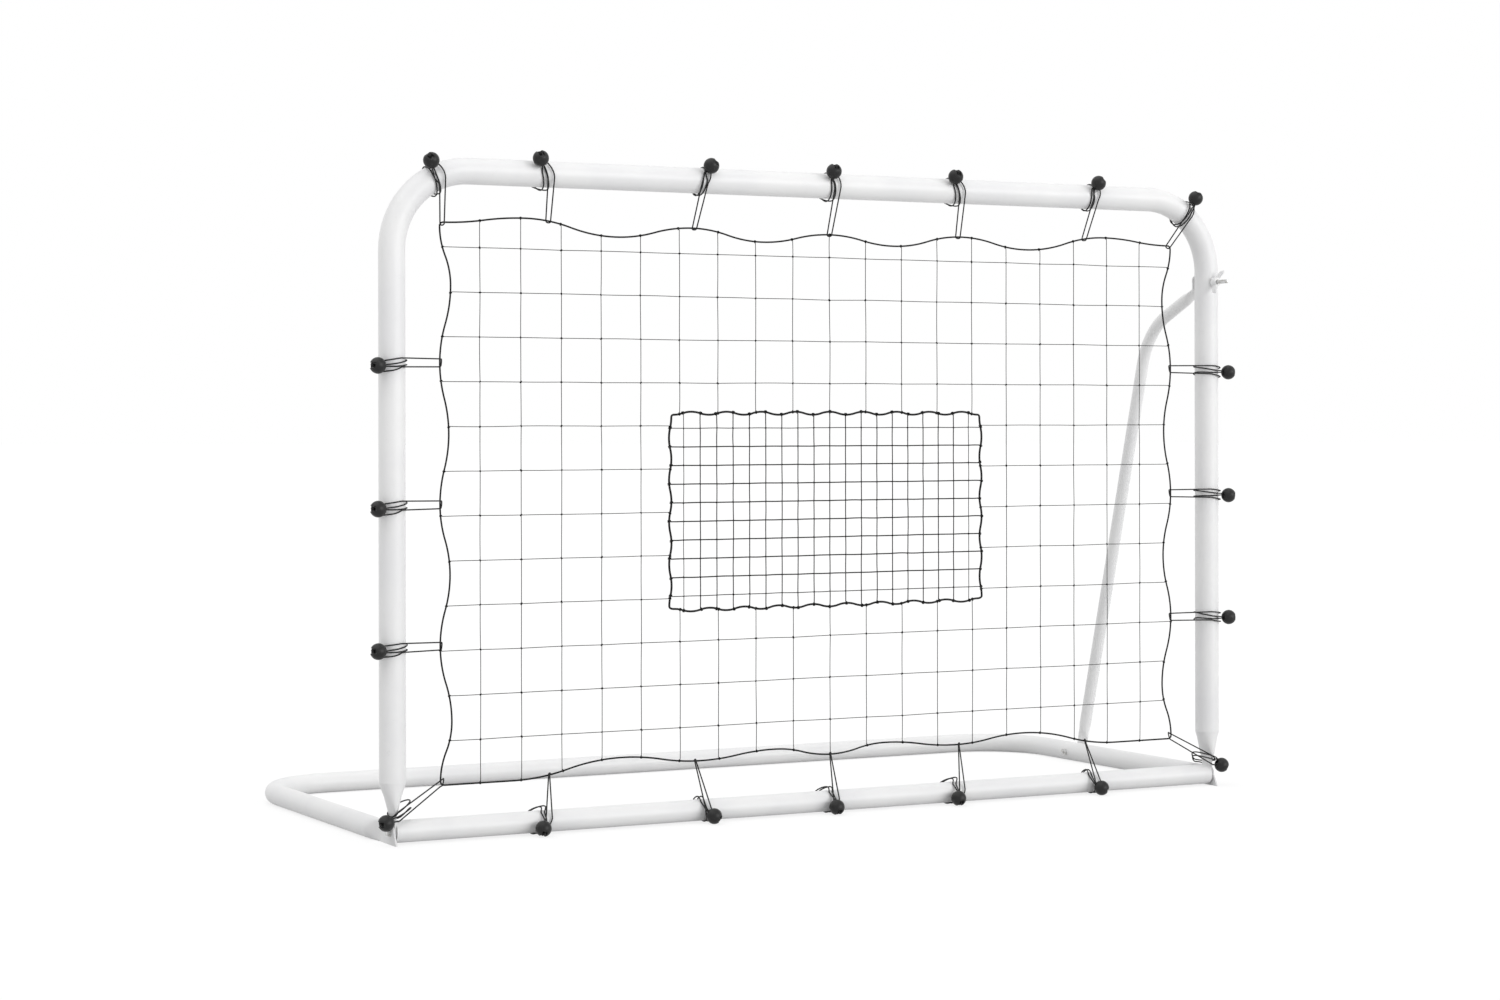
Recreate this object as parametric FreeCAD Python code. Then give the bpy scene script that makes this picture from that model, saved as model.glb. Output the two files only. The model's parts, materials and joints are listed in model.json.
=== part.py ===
import FreeCAD, Part
import math
import os

from FreeCAD import Vector

# Free-standing ball rebounder: a tube frame holding a net and a finer target net on elastic ball ties.
# Millimetres. X runs along the front bar, Y goes back from the net, Z is up.

# upper frame
post_spacing = 1782.0      # axis to axis of the two uprights
frame_rise = 1176.0        # from the pivot line to the axis of the top bar
upper_radius = 24.0        # outside of the uprights and the top bar
upper_wall = 1.8
corner_bend = 145.0        # centre line of the bend at each top corner
top_stub = 90.0            # straight end of an upright after its bend
swage_length = 60.0        # reduced end that slides into the next tube
swage_gap = 0.25
post_crimp_top = 88.0      # the upright is round above this height over the pivot
post_crimp_base = 24.0     # and pressed flat below this one
tongue_half = 15.0         # half the width of the flat tongue

# front bar, coaxial with the corner pivots
bar_radius = 20.0
bar_wall = 1.5
plug_length = 18.0

# base
base_depth = 753.0         # pivot line to the axis of the rear bar
base_radius = 20.0
base_wall = 1.5
rear_bend = 150.0
rear_stub = 80.0
tab_front = 30.0           # nose of a side tube's flat end, ahead of the pivot; its top is round
tab_back = 45.0            # and behind it
side_crimp = 42.0          # length over which the side tube goes from flat to round

# stages of a pressed end: share of its length, how far it has narrowed, how far it has flattened
even_press = [(0.0, 0.0, 0.0), (0.3, 0.22, 0.22), (0.65, 0.74, 0.74), (1.0, 1.0, 1.0)]
post_press = [(0.0, 0.0, 0.0), (0.25, 0.14, 0.24), (0.5, 0.22, 0.56), (0.75, 0.45, 0.86), (1.0, 1.0, 1.0)]

# fasteners
bolt_radius = 4.0
bolt_head = 5.3
bolt_across = 13.0
washer_radius = 8.5
washer_thickness = 1.6
pivot_gap = 0.1            # radial play of a running bolt
side_gap = 0.3             # between flat faces that turn on each other
screw_radius = 2.4
screw_head_radius = 4.6
screw_head = 2.2
screw_length = 9.0
screw_inset = 26.0         # from a slip joint's seam to its screw

# brace behind the right upright
brace_radius = 12.5
brace_wall = 1.5
brace_foot = 493.0         # behind the pivot line
brace_lean = 17.3          # lower run off the vertical, degrees
brace_rise = 24.1          # upper run off the horizontal, degrees
brace_bend = 160.0
brace_flat_half = 17.5
brace_foot_gap = 0.6
foot_flat = 32.0           # foot is pressed flat up to this length above its bolt
foot_crimp = 30.0
head_flat = 14.0           # flat run below the folded end
head_crimp = 34.0
clamp_drop = 166.0         # clamp stud below the top bar's axis
clamp_tab_above = 15.0     # folded end above the stud
clamp_slot_play = 0.35
clamp_slot_drop = 1.4      # extra length of the slot below the stud
stud_front = 74.0          # tip of the stud ahead of the uprights' plane
stud_back = 1.0            # beyond the folded end

# wing nut
hub_length = 13.0
hub_base_radius = 10.0
hub_tip_radius = 8.0
wing_reach = 26.0
wing_thickness = 3.2
wing_forward = 26.0        # from the hub's seat to the wing tips
wing_turn = 65.0           # wings' angle from the horizontal

# net
net_side_room = 91.0       # from an upright's axis to the cord at the side ties
net_top_room = 93.0        # from the top bar's axis to the cord at the corners
net_bottom = 77.0          # height over the pivot line
mesh_columns = 19
mesh_rows = 12
mesh_side = 77.3           # from the outer columns and rows of the mesh to the cord
mesh_below = 78.8
mesh_above = 43.9
twine = 1.2
edge_cord = 1.6            # radius of the cord round the net
edge_corner = 6.0
# waves of that cord: share of the net's half width or of its height, and the offset in millimetres
top_wave = [(0, 0), (0.181, -18), (0.369, 4), (0.562, -17), (0.794, 12)]
bottom_wave = [(0, 12), (0.151, 28), (0.351, 15), (0.55, 30), (0.825, 0)]
side_wave = [(0.888, 21), (0.75, 0), (0.624, 17), (0.498, 0), (0.373, 19), (0.247, 0), (0.112, 22)]

# target net
target_half = 341.0
target_top = 741.5
target_bottom = 374.5
target_mesh = 34.8
target_columns = 19
target_rows = 10
target_low = 400.5
target_twine = 1.3
target_cord = 2.0
target_corner = 4.5
wave_count = 9             # outward waves along the top and the bottom of the target
wave_height = 2.8
side_waves = 4
side_wave_height = 2.4

# elastic ball ties
cord_radius = 1.2
cord_gap = 0.15
net_gap = 0.3              # twine ends to their edge cord
ball_radius = 14.75
ball_hole = 3.5
ball_slot = 3.6
ball_slot_depth = 4.5
leg_half = 3.8             # half the spacing of the two strands that hold the net
wrap_half = 8.0            # half the spacing of the two strands round the tube
bend_play = 0.8            # extra room of a cord over a bend
corner_leg_half = 2.4      # the same at the net's corners
corner_hook_in = 5.0       # a corner loop hooks over the cord this far from the corner
corner_round = 1.0         # by which the cord's rounding falls back there
# place of a tie as a share of the net's half width or height, and the shift of its ball along the tube
bar_ties = [(-0.735, -28), (-0.362, 20), (0, -7), (0.362, -24), (0.735, 14)]
side_ties = [(0.75, -6), (0.498, -5), (0.247, -3)]
top_ball = (26.0, 31.0)    # outward of the tube's axis, ahead of it
side_ball = (36.0, 26.0)
foot_ball = (21.0, 22.0, 20.0)            # outward of an upright, ahead of it, over the pivot line
foot_front_wrap = 21.5     # the foot ties pass the pressed end's front edge
foot_back_centre = 13.0    # and turn round its back edge
foot_back_wrap = 8.5
foot_tie_rise = 30.3
top_corner_balls = [(64.0, 14.0), (48.0, 4.0)]   # inward of the upright, above the top bar's axis
top_corner_ball_front = 29.0

half = post_spacing / 2
clamp_rise = frame_rise - clamp_drop
net_half = half - net_side_room
net_top = frame_rise - net_top_room
mesh = 2 * (net_half - mesh_side) / (mesh_columns - 1)
mesh_rise = (net_top - net_bottom - mesh_below - mesh_above) / (mesh_rows - 1)
pivot_z = bar_radius + 2 * cord_radius + 2 * cord_gap
side_drop = base_radius - pivot_z          # side tube's axis seen from the pivot line
tongue_t = 2 * upper_wall
tab_t = 2 * base_wall
side_x = half + tongue_t / 2 + side_gap + tab_t / 2
rear_reach = base_depth + base_radius + screw_head
post_y = (stud_front - rear_reach) / 2
front = Vector(0, -1, 0)


def at(x, back, up):
    return Vector(x, post_y + back, pivot_z + up)


def export(name, shapes):
    shape = shapes[0] if len(shapes) == 1 else Part.makeCompound(shapes)
    shape.exportStep("parts/" + name + ".step")
    print(name, len(shape.Solids), "solids", round(shape.Volume), "mm3", "valid", shape.isValid())


def route(points, radius):
    """Straight runs joined by tangent arcs of one radius."""
    edges = []
    last = points[0]
    for i in range(1, len(points) - 1):
        p = points[i]
        a = (points[i - 1] - p).normalize()
        b = (points[i + 1] - p).normalize()
        angle = a.getAngle(b)
        cut = radius / math.tan(angle / 2)
        mid_dir = (a + b).normalize()
        middle = p + mid_dir * (radius / math.sin(angle / 2) - radius)
        edges.append(Part.makeLine(last, p + a * cut))
        edges.append(Part.Arc(p + a * cut, middle, p + b * cut).toShape())
        last = p + b * cut
    edges.append(Part.makeLine(last, points[-1]))
    return edges


def sweep(edges, start, direction, radius):
    profile = Part.Wire(Part.Circle(start, direction, radius).toShape())
    return Part.Wire(edges).makePipeShell([profile], True, False)


def tube(points, bend, radius, wall):
    edges = route(points, bend)
    direction = points[1] - points[0]
    return sweep(edges, points[0], direction, radius).cut(sweep(edges, points[0], direction, radius - wall))


def oval(centre, wide, thin, a, b):
    """Closed outline between a circle, where a equals b, and a pressed flat tube."""
    flat = 0.93 * (1 - b / a)
    cx = (1 - flat) * a * math.sqrt(0.5) + flat * (a - b)
    cy = b * ((1 - flat) * math.sqrt(0.5) + flat)

    def p(u, v):
        return centre + wide * u + thin * v
    return Part.Wire([
        Part.Arc(p(-cx, cy), p(0, b), p(cx, cy)).toShape(),
        Part.Arc(p(cx, cy), p(a, 0), p(cx, -cy)).toShape(),
        Part.Arc(p(cx, -cy), p(0, -b), p(-cx, -cy)).toShape(),
        Part.Arc(p(-cx, -cy), p(-a, 0), p(-cx, cy)).toShape()])


def crimp(start, along, wide, thin, length, radius, wall, flat_half, stages=even_press):
    """Tube end pressed from round at start to flat, hollow until its walls meet."""
    def sections(r, b_end, a_end, cut_short):
        wires = []
        for share, narrowed, flattened in stages:
            a = r + (a_end - r) * narrowed
            b = r + (b_end - r) * flattened
            wires.append(oval(start + along * (share * (length - cut_short)), wide, thin, a, b))
        return Part.makeLoft(wires, True, False)
    outer = sections(radius, wall, flat_half, 0.0)
    inner = sections(radius - wall, 0.15, flat_half - 2 * wall, 2.0)
    return outer.cut(inner)


def plate(outline, normal_shift):
    """Flat plate from a closed outline, extruded by the vector normal_shift."""
    return Part.Face(Part.Wire(outline)).extrude(normal_shift)


def polygon(points):
    return [Part.makeLine(points[i], points[(i + 1) % len(points)]) for i in range(len(points))]


def cylinder(radius, start, axis, length):
    return Part.makeCylinder(radius, length, start, axis)


def hexagon(across, start, axis, length):
    side = axis.cross(Vector(0, 0, 1))
    up = side.cross(axis)
    corner = across / math.sqrt(3)
    points = [start + side * (corner * math.cos(k * math.pi / 3)) + up * (corner * math.sin(k * math.pi / 3))
              for k in range(6)]
    head = plate(polygon(points), axis * length)
    bevel = Part.makeCone(corner - 0.2, corner + length, length, start + axis * length, axis * -1)
    return head.common(bevel)


def upright(side):
    x = side * half
    seam = side * (half - corner_bend - top_stub)
    shaft = tube([at(x, 0, post_crimp_top), at(x, 0, frame_rise), at(seam, 0, frame_rise)],
                 corner_bend, upper_radius, upper_wall)
    pressed = crimp(at(x, 0, post_crimp_top), Vector(0, 0, -1), Vector(0, 1, 0), Vector(1, 0, 0),
                    post_crimp_top - post_crimp_base, upper_radius, upper_wall, tongue_half, post_press)
    left_x = x - tongue_t / 2
    neck, shoulder = post_crimp_base - upper_wall, tongue_half - upper_wall
    outline = [Part.makeLine(at(left_x, -shoulder, post_crimp_base), at(left_x, -tongue_half, neck)),
               Part.makeLine(at(left_x, -tongue_half, neck), at(left_x, -tongue_half, 0)),
               Part.Arc(at(left_x, -tongue_half, 0), at(left_x, 0, -tongue_half),
                        at(left_x, tongue_half, 0)).toShape(),
               Part.makeLine(at(left_x, tongue_half, 0), at(left_x, tongue_half, neck)),
               Part.makeLine(at(left_x, tongue_half, neck), at(left_x, shoulder, post_crimp_base)),
               Part.makeLine(at(left_x, shoulder, post_crimp_base), at(left_x, -shoulder, post_crimp_base))]
    tongue = plate(outline, Vector(tongue_t, 0, 0))
    body = shaft.fuse([pressed, tongue])
    body = body.cut(cylinder(bolt_radius + pivot_gap, at(left_x - 1, 0, 0), Vector(1, 0, 0), tongue_t + 2))
    screw_x = seam + side * screw_inset
    body = body.cut(cylinder(screw_radius + pivot_gap, at(screw_x, 0, frame_rise), Vector(0, 1, 0),
                             upper_radius + 1))
    if side > 0:
        body = body.cut(cylinder(bolt_radius + pivot_gap, at(x, -upper_radius - 1, clamp_rise),
                                 Vector(0, 1, 0), 2 * upper_radius + 2))
    return body


def swaged_bar(seam, back, up, radius, wall):
    """Straight tube with a reduced end at each seam, held there by a screw from behind."""
    axis = Vector(1, 0, 0)
    inner = radius - wall - swage_gap
    reach = seam + swage_length
    body = cylinder(radius, at(-seam, back, up), axis, 2 * seam)
    body = body.fuse(cylinder(inner, at(-reach, back, up), axis, 2 * reach))
    body = body.cut(cylinder(inner - wall, at(-reach, back, up), axis, 2 * reach))
    for side in (-1, 1):
        hole = at(side * (seam + screw_inset), back, up)
        body = body.cut(cylinder(screw_radius + pivot_gap, hole, Vector(0, 1, 0), radius))
    return body


def joint_screws(seam, back, up, radius):
    screws = []
    for side in (-1, 1):
        seat = at(side * (seam + screw_inset), back + radius, up)
        head = Part.makeCone(screw_head_radius, screw_head_radius * 0.6, screw_head, seat, Vector(0, 1, 0))
        socket = hexagon(3.0, seat + Vector(0, screw_head - 1.2, 0), Vector(0, 1, 0), 2.0)
        shank = cylinder(screw_radius, seat, Vector(0, -1, 0), screw_length)
        screws.append(head.cut(socket).fuse(shank))
    return screws


def side_tube(side):
    x = side * side_x
    round_y = tab_back + side_crimp
    seam = side * (side_x - rear_bend - rear_stub)
    run = tube([at(x, round_y, side_drop), at(x, base_depth, side_drop), at(seam, base_depth, side_drop)],
               rear_bend, base_radius, base_wall)
    pressed = crimp(at(x, round_y, side_drop), front, Vector(0, 0, 1), Vector(1, 0, 0), side_crimp,
                    base_radius, base_wall, base_radius)
    top, low, inner = side_drop + base_radius, side_drop - base_radius, x - tab_t / 2
    diagonal = top * math.sqrt(0.5)
    tab = plate([Part.makeLine(at(inner, tab_back, top), at(inner, 0, top)),
                 Part.Arc(at(inner, 0, top), at(inner, -diagonal, diagonal), at(inner, -top, 0)).toShape(),
                 Part.makeLine(at(inner, -top, 0), at(inner, -tab_front, low)),
                 Part.makeLine(at(inner, -tab_front, low), at(inner, tab_back, low)),
                 Part.makeLine(at(inner, tab_back, low), at(inner, tab_back, top))], Vector(tab_t, 0, 0))
    body = run.fuse([pressed, tab])
    axis = Vector(side, 0, 0)
    body = body.cut(cylinder(bolt_radius + pivot_gap, at(x - side * tab_t, 0, 0), axis, 2 * tab_t))
    screw_x = seam + side * screw_inset
    body = body.cut(cylinder(screw_radius + pivot_gap, at(screw_x, base_depth, side_drop), Vector(0, 1, 0),
                             base_radius + 1))
    if side > 0:
        body = body.cut(cylinder(bolt_radius + pivot_gap, at(x - base_radius - 1, brace_foot, side_drop),
                                 axis, 2 * base_radius + 2))
    return body


def bolt(seat, axis, grip):
    """Hex bolt whose head sits at seat and whose shank runs along axis."""
    return hexagon(bolt_across, seat, axis * -1, bolt_head).fuse(cylinder(bolt_radius, seat, axis, grip))


def washer(seat, axis):
    ring = cylinder(washer_radius, seat, axis, washer_thickness)
    return ring.cut(cylinder(bolt_radius + pivot_gap, seat, axis, washer_thickness))


def corner_hardware(side):
    """Bolt, washer and threaded plug of one corner pivot."""
    inward = Vector(-side, 0, 0)
    tab_face = side_x + tab_t / 2 + side_gap
    washer_seat = at(side * tab_face, 0, 0)
    head_seat = at(side * (tab_face + washer_thickness), 0, 0)
    bar_end = half - tongue_t / 2
    grip = tab_face + washer_thickness - bar_end + plug_length - 2
    plug = cylinder(bar_radius - bar_wall - 0.1, at(side * bar_end, 0, 0), inward, plug_length)
    plug = plug.cut(cylinder(bolt_radius + 0.05, at(side * bar_end, 0, 0), inward, plug_length))
    return bolt(head_seat, inward, grip), washer(washer_seat, inward * -1), plug


def front_bar():
    end = half - tongue_t / 2
    bar = cylinder(bar_radius, at(-end, 0, 0), Vector(1, 0, 0), 2 * end)
    return bar.cut(cylinder(bar_radius - bar_wall, at(-end, 0, 0), Vector(1, 0, 0), 2 * end))


brace_x = side_x + base_radius + brace_foot_gap + tab_t / 2


def brace():
    lean = math.radians(brace_lean)
    rise = math.radians(brace_rise)
    foot = (brace_foot, side_drop)
    down = Vector(0, math.sin(lean), -math.cos(lean))
    up_dir = Vector(0, -math.cos(rise), math.sin(rise))
    tab_back_y = upper_radius + side_gap + tab_t
    fold = (tab_back_y - tab_t / 2, clamp_rise - 13.0)
    # corner where the lower and the upper run would meet
    gap_y = foot[0] - fold[0]
    gap_z = fold[1] - foot[1]
    reach = (gap_y * math.sin(rise) + gap_z * math.cos(rise) * -1)
    run = -reach / math.cos(lean + rise)
    corner = at(brace_x, foot[0] - run * math.sin(lean), foot[1] + run * math.cos(lean))
    foot_point = at(brace_x, *foot)
    fold_point = at(brace_x, *fold)
    low = foot_point - down * (foot_flat + foot_crimp)
    high = fold_point - up_dir * (head_flat + head_crimp)
    body = tube([low, corner, high], brace_bend, brace_radius, brace_wall)
    across = Vector(1, 0, 0)
    foot_wide = down.cross(across)
    head_thin = up_dir.cross(across)
    body = body.fuse([
        crimp(low, down, foot_wide, across, foot_crimp, brace_radius, brace_wall, brace_flat_half),
        crimp(high, up_dir, across, head_thin, head_crimp, brace_radius, brace_wall, brace_flat_half)])
    flat = brace_flat_half - brace_wall
    edge = foot_point - across * (tab_t / 2)
    neck = edge - down * foot_flat
    foot_tab = plate([Part.makeLine(neck - foot_wide * flat, edge - foot_wide * flat),
                      Part.Arc(edge - foot_wide * flat, edge + down * flat, edge + foot_wide * flat).toShape(),
                      Part.makeLine(edge + foot_wide * flat, neck + foot_wide * flat),
                      Part.makeLine(neck + foot_wide * flat, neck - foot_wide * flat)], across * tab_t)
    start = fold_point - up_dir * head_flat - head_thin * (tab_t / 2) - across * flat
    head_run = plate(polygon([start, start + across * (2 * flat), start + across * (2 * flat) + up_dir * head_flat,
                              start + up_dir * head_flat]), head_thin * tab_t)
    top = clamp_rise + clamp_tab_above
    y0 = upper_radius + side_gap
    corners = 8.0
    head_tab = Part.makeBox(2 * flat, tab_t, top - fold[1] + tab_t / 2, at(brace_x - flat, y0, fold[1] - tab_t / 2))
    tall = [e for e in head_tab.Edges
            if abs(e.Length - tab_t) < 0.01 and abs(e.CenterOfMass.z - (pivot_z + top)) < 0.01]
    head_tab = head_tab.makeFillet(corners, tall)
    rounding = cylinder(tab_t / 2, at(brace_x - flat, y0 + tab_t / 2, fold[1]), across, 2 * flat)
    front_plane = Part.makeBox(200, 100, 200, at(brace_x - 100, y0 - 100, fold[1] - 100))
    body = body.fuse([foot_tab, head_run.cut(front_plane), head_tab, rounding])
    # the foot bolts outside the side tube, the folded end sits behind the upright's middle
    tilt = math.degrees(math.asin((brace_x - half) / (clamp_rise - side_drop)))
    body.rotate(foot_point, Vector(0, 1, 0), -tilt)
    body = body.cut(cylinder(bolt_radius + pivot_gap, at(brace_x - 10, *foot), across, 20))
    slot_radius = bolt_radius + clamp_slot_play
    slot = cylinder(slot_radius, at(half, 0, clamp_rise), Vector(0, 1, 0), 2 * upper_radius)
    slot = slot.fuse(Part.makeBox(2 * slot_radius, 2 * upper_radius, clamp_slot_drop,
                                  at(half - slot_radius, 0, clamp_rise - clamp_slot_drop)))
    slot = slot.fuse(cylinder(slot_radius, at(half, 0, clamp_rise - clamp_slot_drop), Vector(0, 1, 0),
                              2 * upper_radius))
    return body.cut(slot)


def foot_hardware():
    """Bolt, washer and nut on which the brace folds."""
    inward = Vector(-1, 0, 0)
    outer = brace_x + tab_t / 2 + side_gap
    head_seat = at(outer + washer_thickness, brace_foot, side_drop)
    nut_face = side_x - base_radius
    nut_length = 6.5
    grip = outer + washer_thickness - nut_face + nut_length + 3
    nut = hexagon(bolt_across, at(nut_face, brace_foot, side_drop), inward, nut_length)
    nut = nut.cut(cylinder(bolt_radius + 0.05, at(nut_face, brace_foot, side_drop), inward, nut_length))
    return bolt(head_seat, inward, grip), washer(at(outer, brace_foot, side_drop), inward * -1), nut


def clamp_stud():
    end = upper_radius + side_gap + tab_t + stud_back
    stud = cylinder(bolt_radius, at(half, -stud_front, clamp_rise), Vector(0, 1, 0), stud_front + end)
    tip = stud.Edges[0] if abs(stud.Edges[0].CenterOfMass.y - (post_y - stud_front)) < 0.01 else stud.Edges[2]
    return stud.makeChamfer(1.0, [tip])


def clamp_washer():
    return washer(at(half, -upper_radius - washer_thickness, clamp_rise), Vector(0, 1, 0))


def wing_nut():
    seat = at(half, -upper_radius - washer_thickness - side_gap, clamp_rise)
    hub = Part.makeCone(hub_base_radius, hub_tip_radius, hub_length, seat, front)
    turn = math.radians(wing_turn)
    out = Vector(math.cos(turn), 0, math.sin(turn))
    thick = out.cross(front)
    body = hub
    for sign in (-1, 1):
        def p(reach, forward):
            return seat + out * (sign * reach) + front * forward - thick * (wing_thickness / 2)
        outline = [Part.makeLine(p(3, 2), p(hub_tip_radius + 3, 2)),
                   Part.Arc(p(hub_tip_radius + 3, 2), p(wing_reach - 4, 9), p(wing_reach, wing_forward - 6)).toShape(),
                   Part.Arc(p(wing_reach, wing_forward - 6), p(wing_reach - 4, wing_forward),
                            p(wing_reach - 10, wing_forward - 4)).toShape(),
                   Part.Arc(p(wing_reach - 10, wing_forward - 4), p(hub_tip_radius + 2, hub_length + 2),
                            p(3, hub_length - 1)).toShape(),
                   Part.makeLine(p(3, hub_length - 1), p(3, 2))]
        body = body.fuse(plate(outline, thick * wing_thickness))
    return body.cut(cylinder(bolt_radius + pivot_gap, seat - front, front, hub_length + 20))


def mirrored(points):
    """Half a symmetric wave, as (place, offset) pairs from the middle, made whole."""
    return [(-x, d) for x, d in reversed(points) if x > 0] + list(points)


def wave_at(points, x):
    """Offset of a wave of tangent arcs, level at each given point."""
    for (x0, d0), (x1, d1) in zip(points, points[1:]):
        if x0 <= x <= x1:
            if abs(d1 - d0) < 1e-6:
                return d0
            radius = ((x1 - x0) ** 2 + (d1 - d0) ** 2) / (4 * abs(d1 - d0))
            sign = 1 if d1 > d0 else -1
            if x <= (x0 + x1) / 2:
                return d0 + sign * (radius - math.sqrt(radius ** 2 - (x - x0) ** 2))
            return d1 - sign * (radius - math.sqrt(radius ** 2 - (x1 - x) ** 2))
    return points[0][1] if x < points[0][0] else points[-1][1]


def wave_edges(points, place):
    """Edges of that wave, where place(x, offset) gives a point in space."""
    edges = []
    for (x0, d0), (x1, d1) in zip(points, points[1:]):
        start, end = place(x0, d0), place(x1, d1)
        if abs(d1 - d0) < 1e-6:
            edges.append(Part.makeLine(start, end))
            continue
        middle = (start + end) * 0.5
        quarter = x0 + (x1 - x0) * 0.25
        three = x0 + (x1 - x0) * 0.75
        edges.append(Part.Arc(start, place(quarter, wave_at(points, quarter)), middle).toShape())
        edges.append(Part.Arc(middle, place(three, wave_at(points, three)), end).toShape())
    return edges


def corner_edge(a, corner, b):
    """Quarter round from a to b inside a square corner."""
    radius = (a - corner).Length
    middle = corner + ((a - corner) + (b - corner)) * (1 - math.sqrt(0.5))
    return Part.Arc(a, middle, b).toShape() if radius > 0 else None


def side_height(share):
    return net_bottom + share * (net_top - net_bottom)


def net_waves():
    end = net_half - edge_corner
    top = mirrored([(share * net_half, d) for share, d in top_wave] + [(end, 0)])
    low = mirrored([(share * net_half, d) for share, d in bottom_wave] + [(end, 0)])
    side = [(side_height(share), d) for share, d in reversed(side_wave)]
    return top, low, [(net_bottom + edge_corner, 0)] + side + [(net_top - edge_corner, 0)]


def target_waves():
    end = target_half - target_corner - side_wave_height
    step = end / wave_count
    level = [(-end + k * step, wave_height if k % 2 else -wave_height) for k in range(2 * wave_count + 1)]
    low = target_bottom + target_corner + wave_height
    high = target_top - target_corner - wave_height
    rise = (high - low) / (2 * side_waves + 1)
    side = [(low + k * rise, side_wave_height if k % 2 == 0 else -side_wave_height)
            for k in range(2 * side_waves + 2)]
    return level, side


def edge_loop(half_width, top_z, bottom_z, top, low, side, radius):
    """Cord round a net: level waves along top and bottom, side waves up both sides, round corners."""
    def up(x, d):
        return at(x, 0, top_z + d)

    def down(x, d):
        return at(-x, 0, bottom_z + d)

    def right(z, d):
        return at(half_width - d, 0, z)

    def left(z, d):
        return at(-half_width + d, 0, z)
    top_edges = wave_edges(top, up)
    right_side = [(-z, d) for z, d in reversed(side)]
    right_edges = wave_edges(right_side, lambda z, d: right(-z, d))
    low_edges = wave_edges(low, down)
    left_edges = wave_edges(side, left)
    chains = [top_edges, right_edges, low_edges, left_edges]
    ends = [(up(*top[0]), up(*top[-1])), (right(-right_side[0][0], right_side[0][1]),
                                          right(-right_side[-1][0], right_side[-1][1])),
            (down(*low[0]), down(*low[-1])), (left(*side[0]), left(*side[-1]))]
    edges = []
    for i, chain in enumerate(chains):
        here, there = ends[i][1], ends[(i + 1) % 4][0]
        corner = Vector(there.x, here.y, here.z) if i % 2 == 0 else Vector(here.x, here.y, there.z)
        edges.extend(chain)
        a, b = (here - corner).Length, (there - corner).Length
        cut = min(a, b)
        p = corner + (here - corner).normalize() * cut
        q = corner + (there - corner).normalize() * cut
        if a - cut > 1e-4:
            edges.append(Part.makeLine(here, p))
        edges.append(corner_edge(p, corner, q))
        if b - cut > 1e-4:
            edges.append(Part.makeLine(q, there))
    start = ends[0][0]
    return sweep(edges, start, Vector(1, 0, 0), radius)


def strip(x0, z0, x1, z1, width):
    """Flat twine from one point to the other, level or upright, in the net's plane."""
    w = width / 2
    if abs(x1 - x0) > abs(z1 - z0):
        points = [at(x0, 0, z0 - w), at(x1, 0, z0 - w), at(x1, 0, z0 + w), at(x0, 0, z0 + w)]
    else:
        points = [at(x0 - w, 0, z0), at(x0 + w, 0, z0), at(x0 + w, 0, z1), at(x0 - w, 0, z1)]
    return Part.Face(Part.Wire(polygon(points)))


def woven(strips, thickness):
    sheet = strips[0].multiFuse(strips[1:]).removeSplitter()
    sheet.translate(Vector(0, -thickness / 2, 0))
    return [face.extrude(Vector(0, thickness, 0)) for face in sheet.Faces]


def big_net():
    top, low, side = net_waves()
    level, target_side = target_waves()
    inset = edge_cord + net_gap
    target_inset = target_cord + net_gap
    strips = []
    for k in range(mesh_columns):
        x = (k - (mesh_columns - 1) / 2) * mesh
        bottom_end = net_bottom + wave_at(low, x) + inset
        top_end = net_top + wave_at(top, x) - inset
        if abs(x) < target_half + target_cord:
            wave = wave_at(level, x)
            strips.append(strip(x, bottom_end, x, target_bottom - wave - target_inset, twine))
            strips.append(strip(x, target_top + wave + target_inset, x, top_end, twine))
        else:
            strips.append(strip(x, bottom_end, x, top_end, twine))
    for j in range(mesh_rows):
        z = net_bottom + mesh_below + j * mesh_rise
        end = net_half - wave_at(side, z) - inset
        if target_bottom - target_cord < z < target_top + target_cord:
            stop = target_half + wave_at(target_side, z) + target_inset
            strips.append(strip(-end, z, -stop, z, twine))
            strips.append(strip(stop, z, end, z, twine))
        else:
            strips.append(strip(-end, z, end, z, twine))
    return woven(strips, twine)


def fine_net():
    level, side = target_waves()
    inset = target_cord + net_gap
    strips = []
    for k in range(target_columns):
        x = (k - (target_columns - 1) / 2) * target_mesh
        wave = wave_at(level, x)
        strips.append(strip(x, target_bottom - wave + inset, x, target_top + wave - inset, target_twine))
    for j in range(target_rows):
        z = target_low + j * target_mesh
        stop = target_half + wave_at(side, z) - inset
        strips.append(strip(-stop, z, stop, z, target_twine))
    return woven(strips, target_twine)


def target_loop():
    level, side = target_waves()
    flipped = [(x, -d) for x, d in level]
    inward = [(z, -d) for z, d in side]
    return edge_loop(target_half, target_top, target_bottom, level, flipped, inward, target_cord)


def hairpin(place, legs, half_width, turn_end, turn_dir, radius):
    """Cord that runs out along legs, turns back in a half round and returns beside itself."""
    def leg(side, flip):
        edges = []
        for kind, points in legs:
            spots = [place(n, f, side) for n, f in points]
            if flip:
                spots.reverse()
            edges.append(Part.makeLine(*spots) if kind == "line" else Part.Arc(*spots).toShape())
        return list(reversed(edges)) if flip else edges
    n, f = turn_end
    tip = place(n + turn_dir[0] * half_width, f + turn_dir[1] * half_width, 0)
    turn = Part.Arc(place(n, f, half_width), tip, place(n, f, -half_width)).toShape()
    edges = leg(half_width, False) + [turn] + leg(-half_width, True)
    start = place(*legs[0][1][0], half_width)
    following = place(*legs[0][1][1], half_width)
    return sweep(edges, start, following - start, radius)


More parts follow.
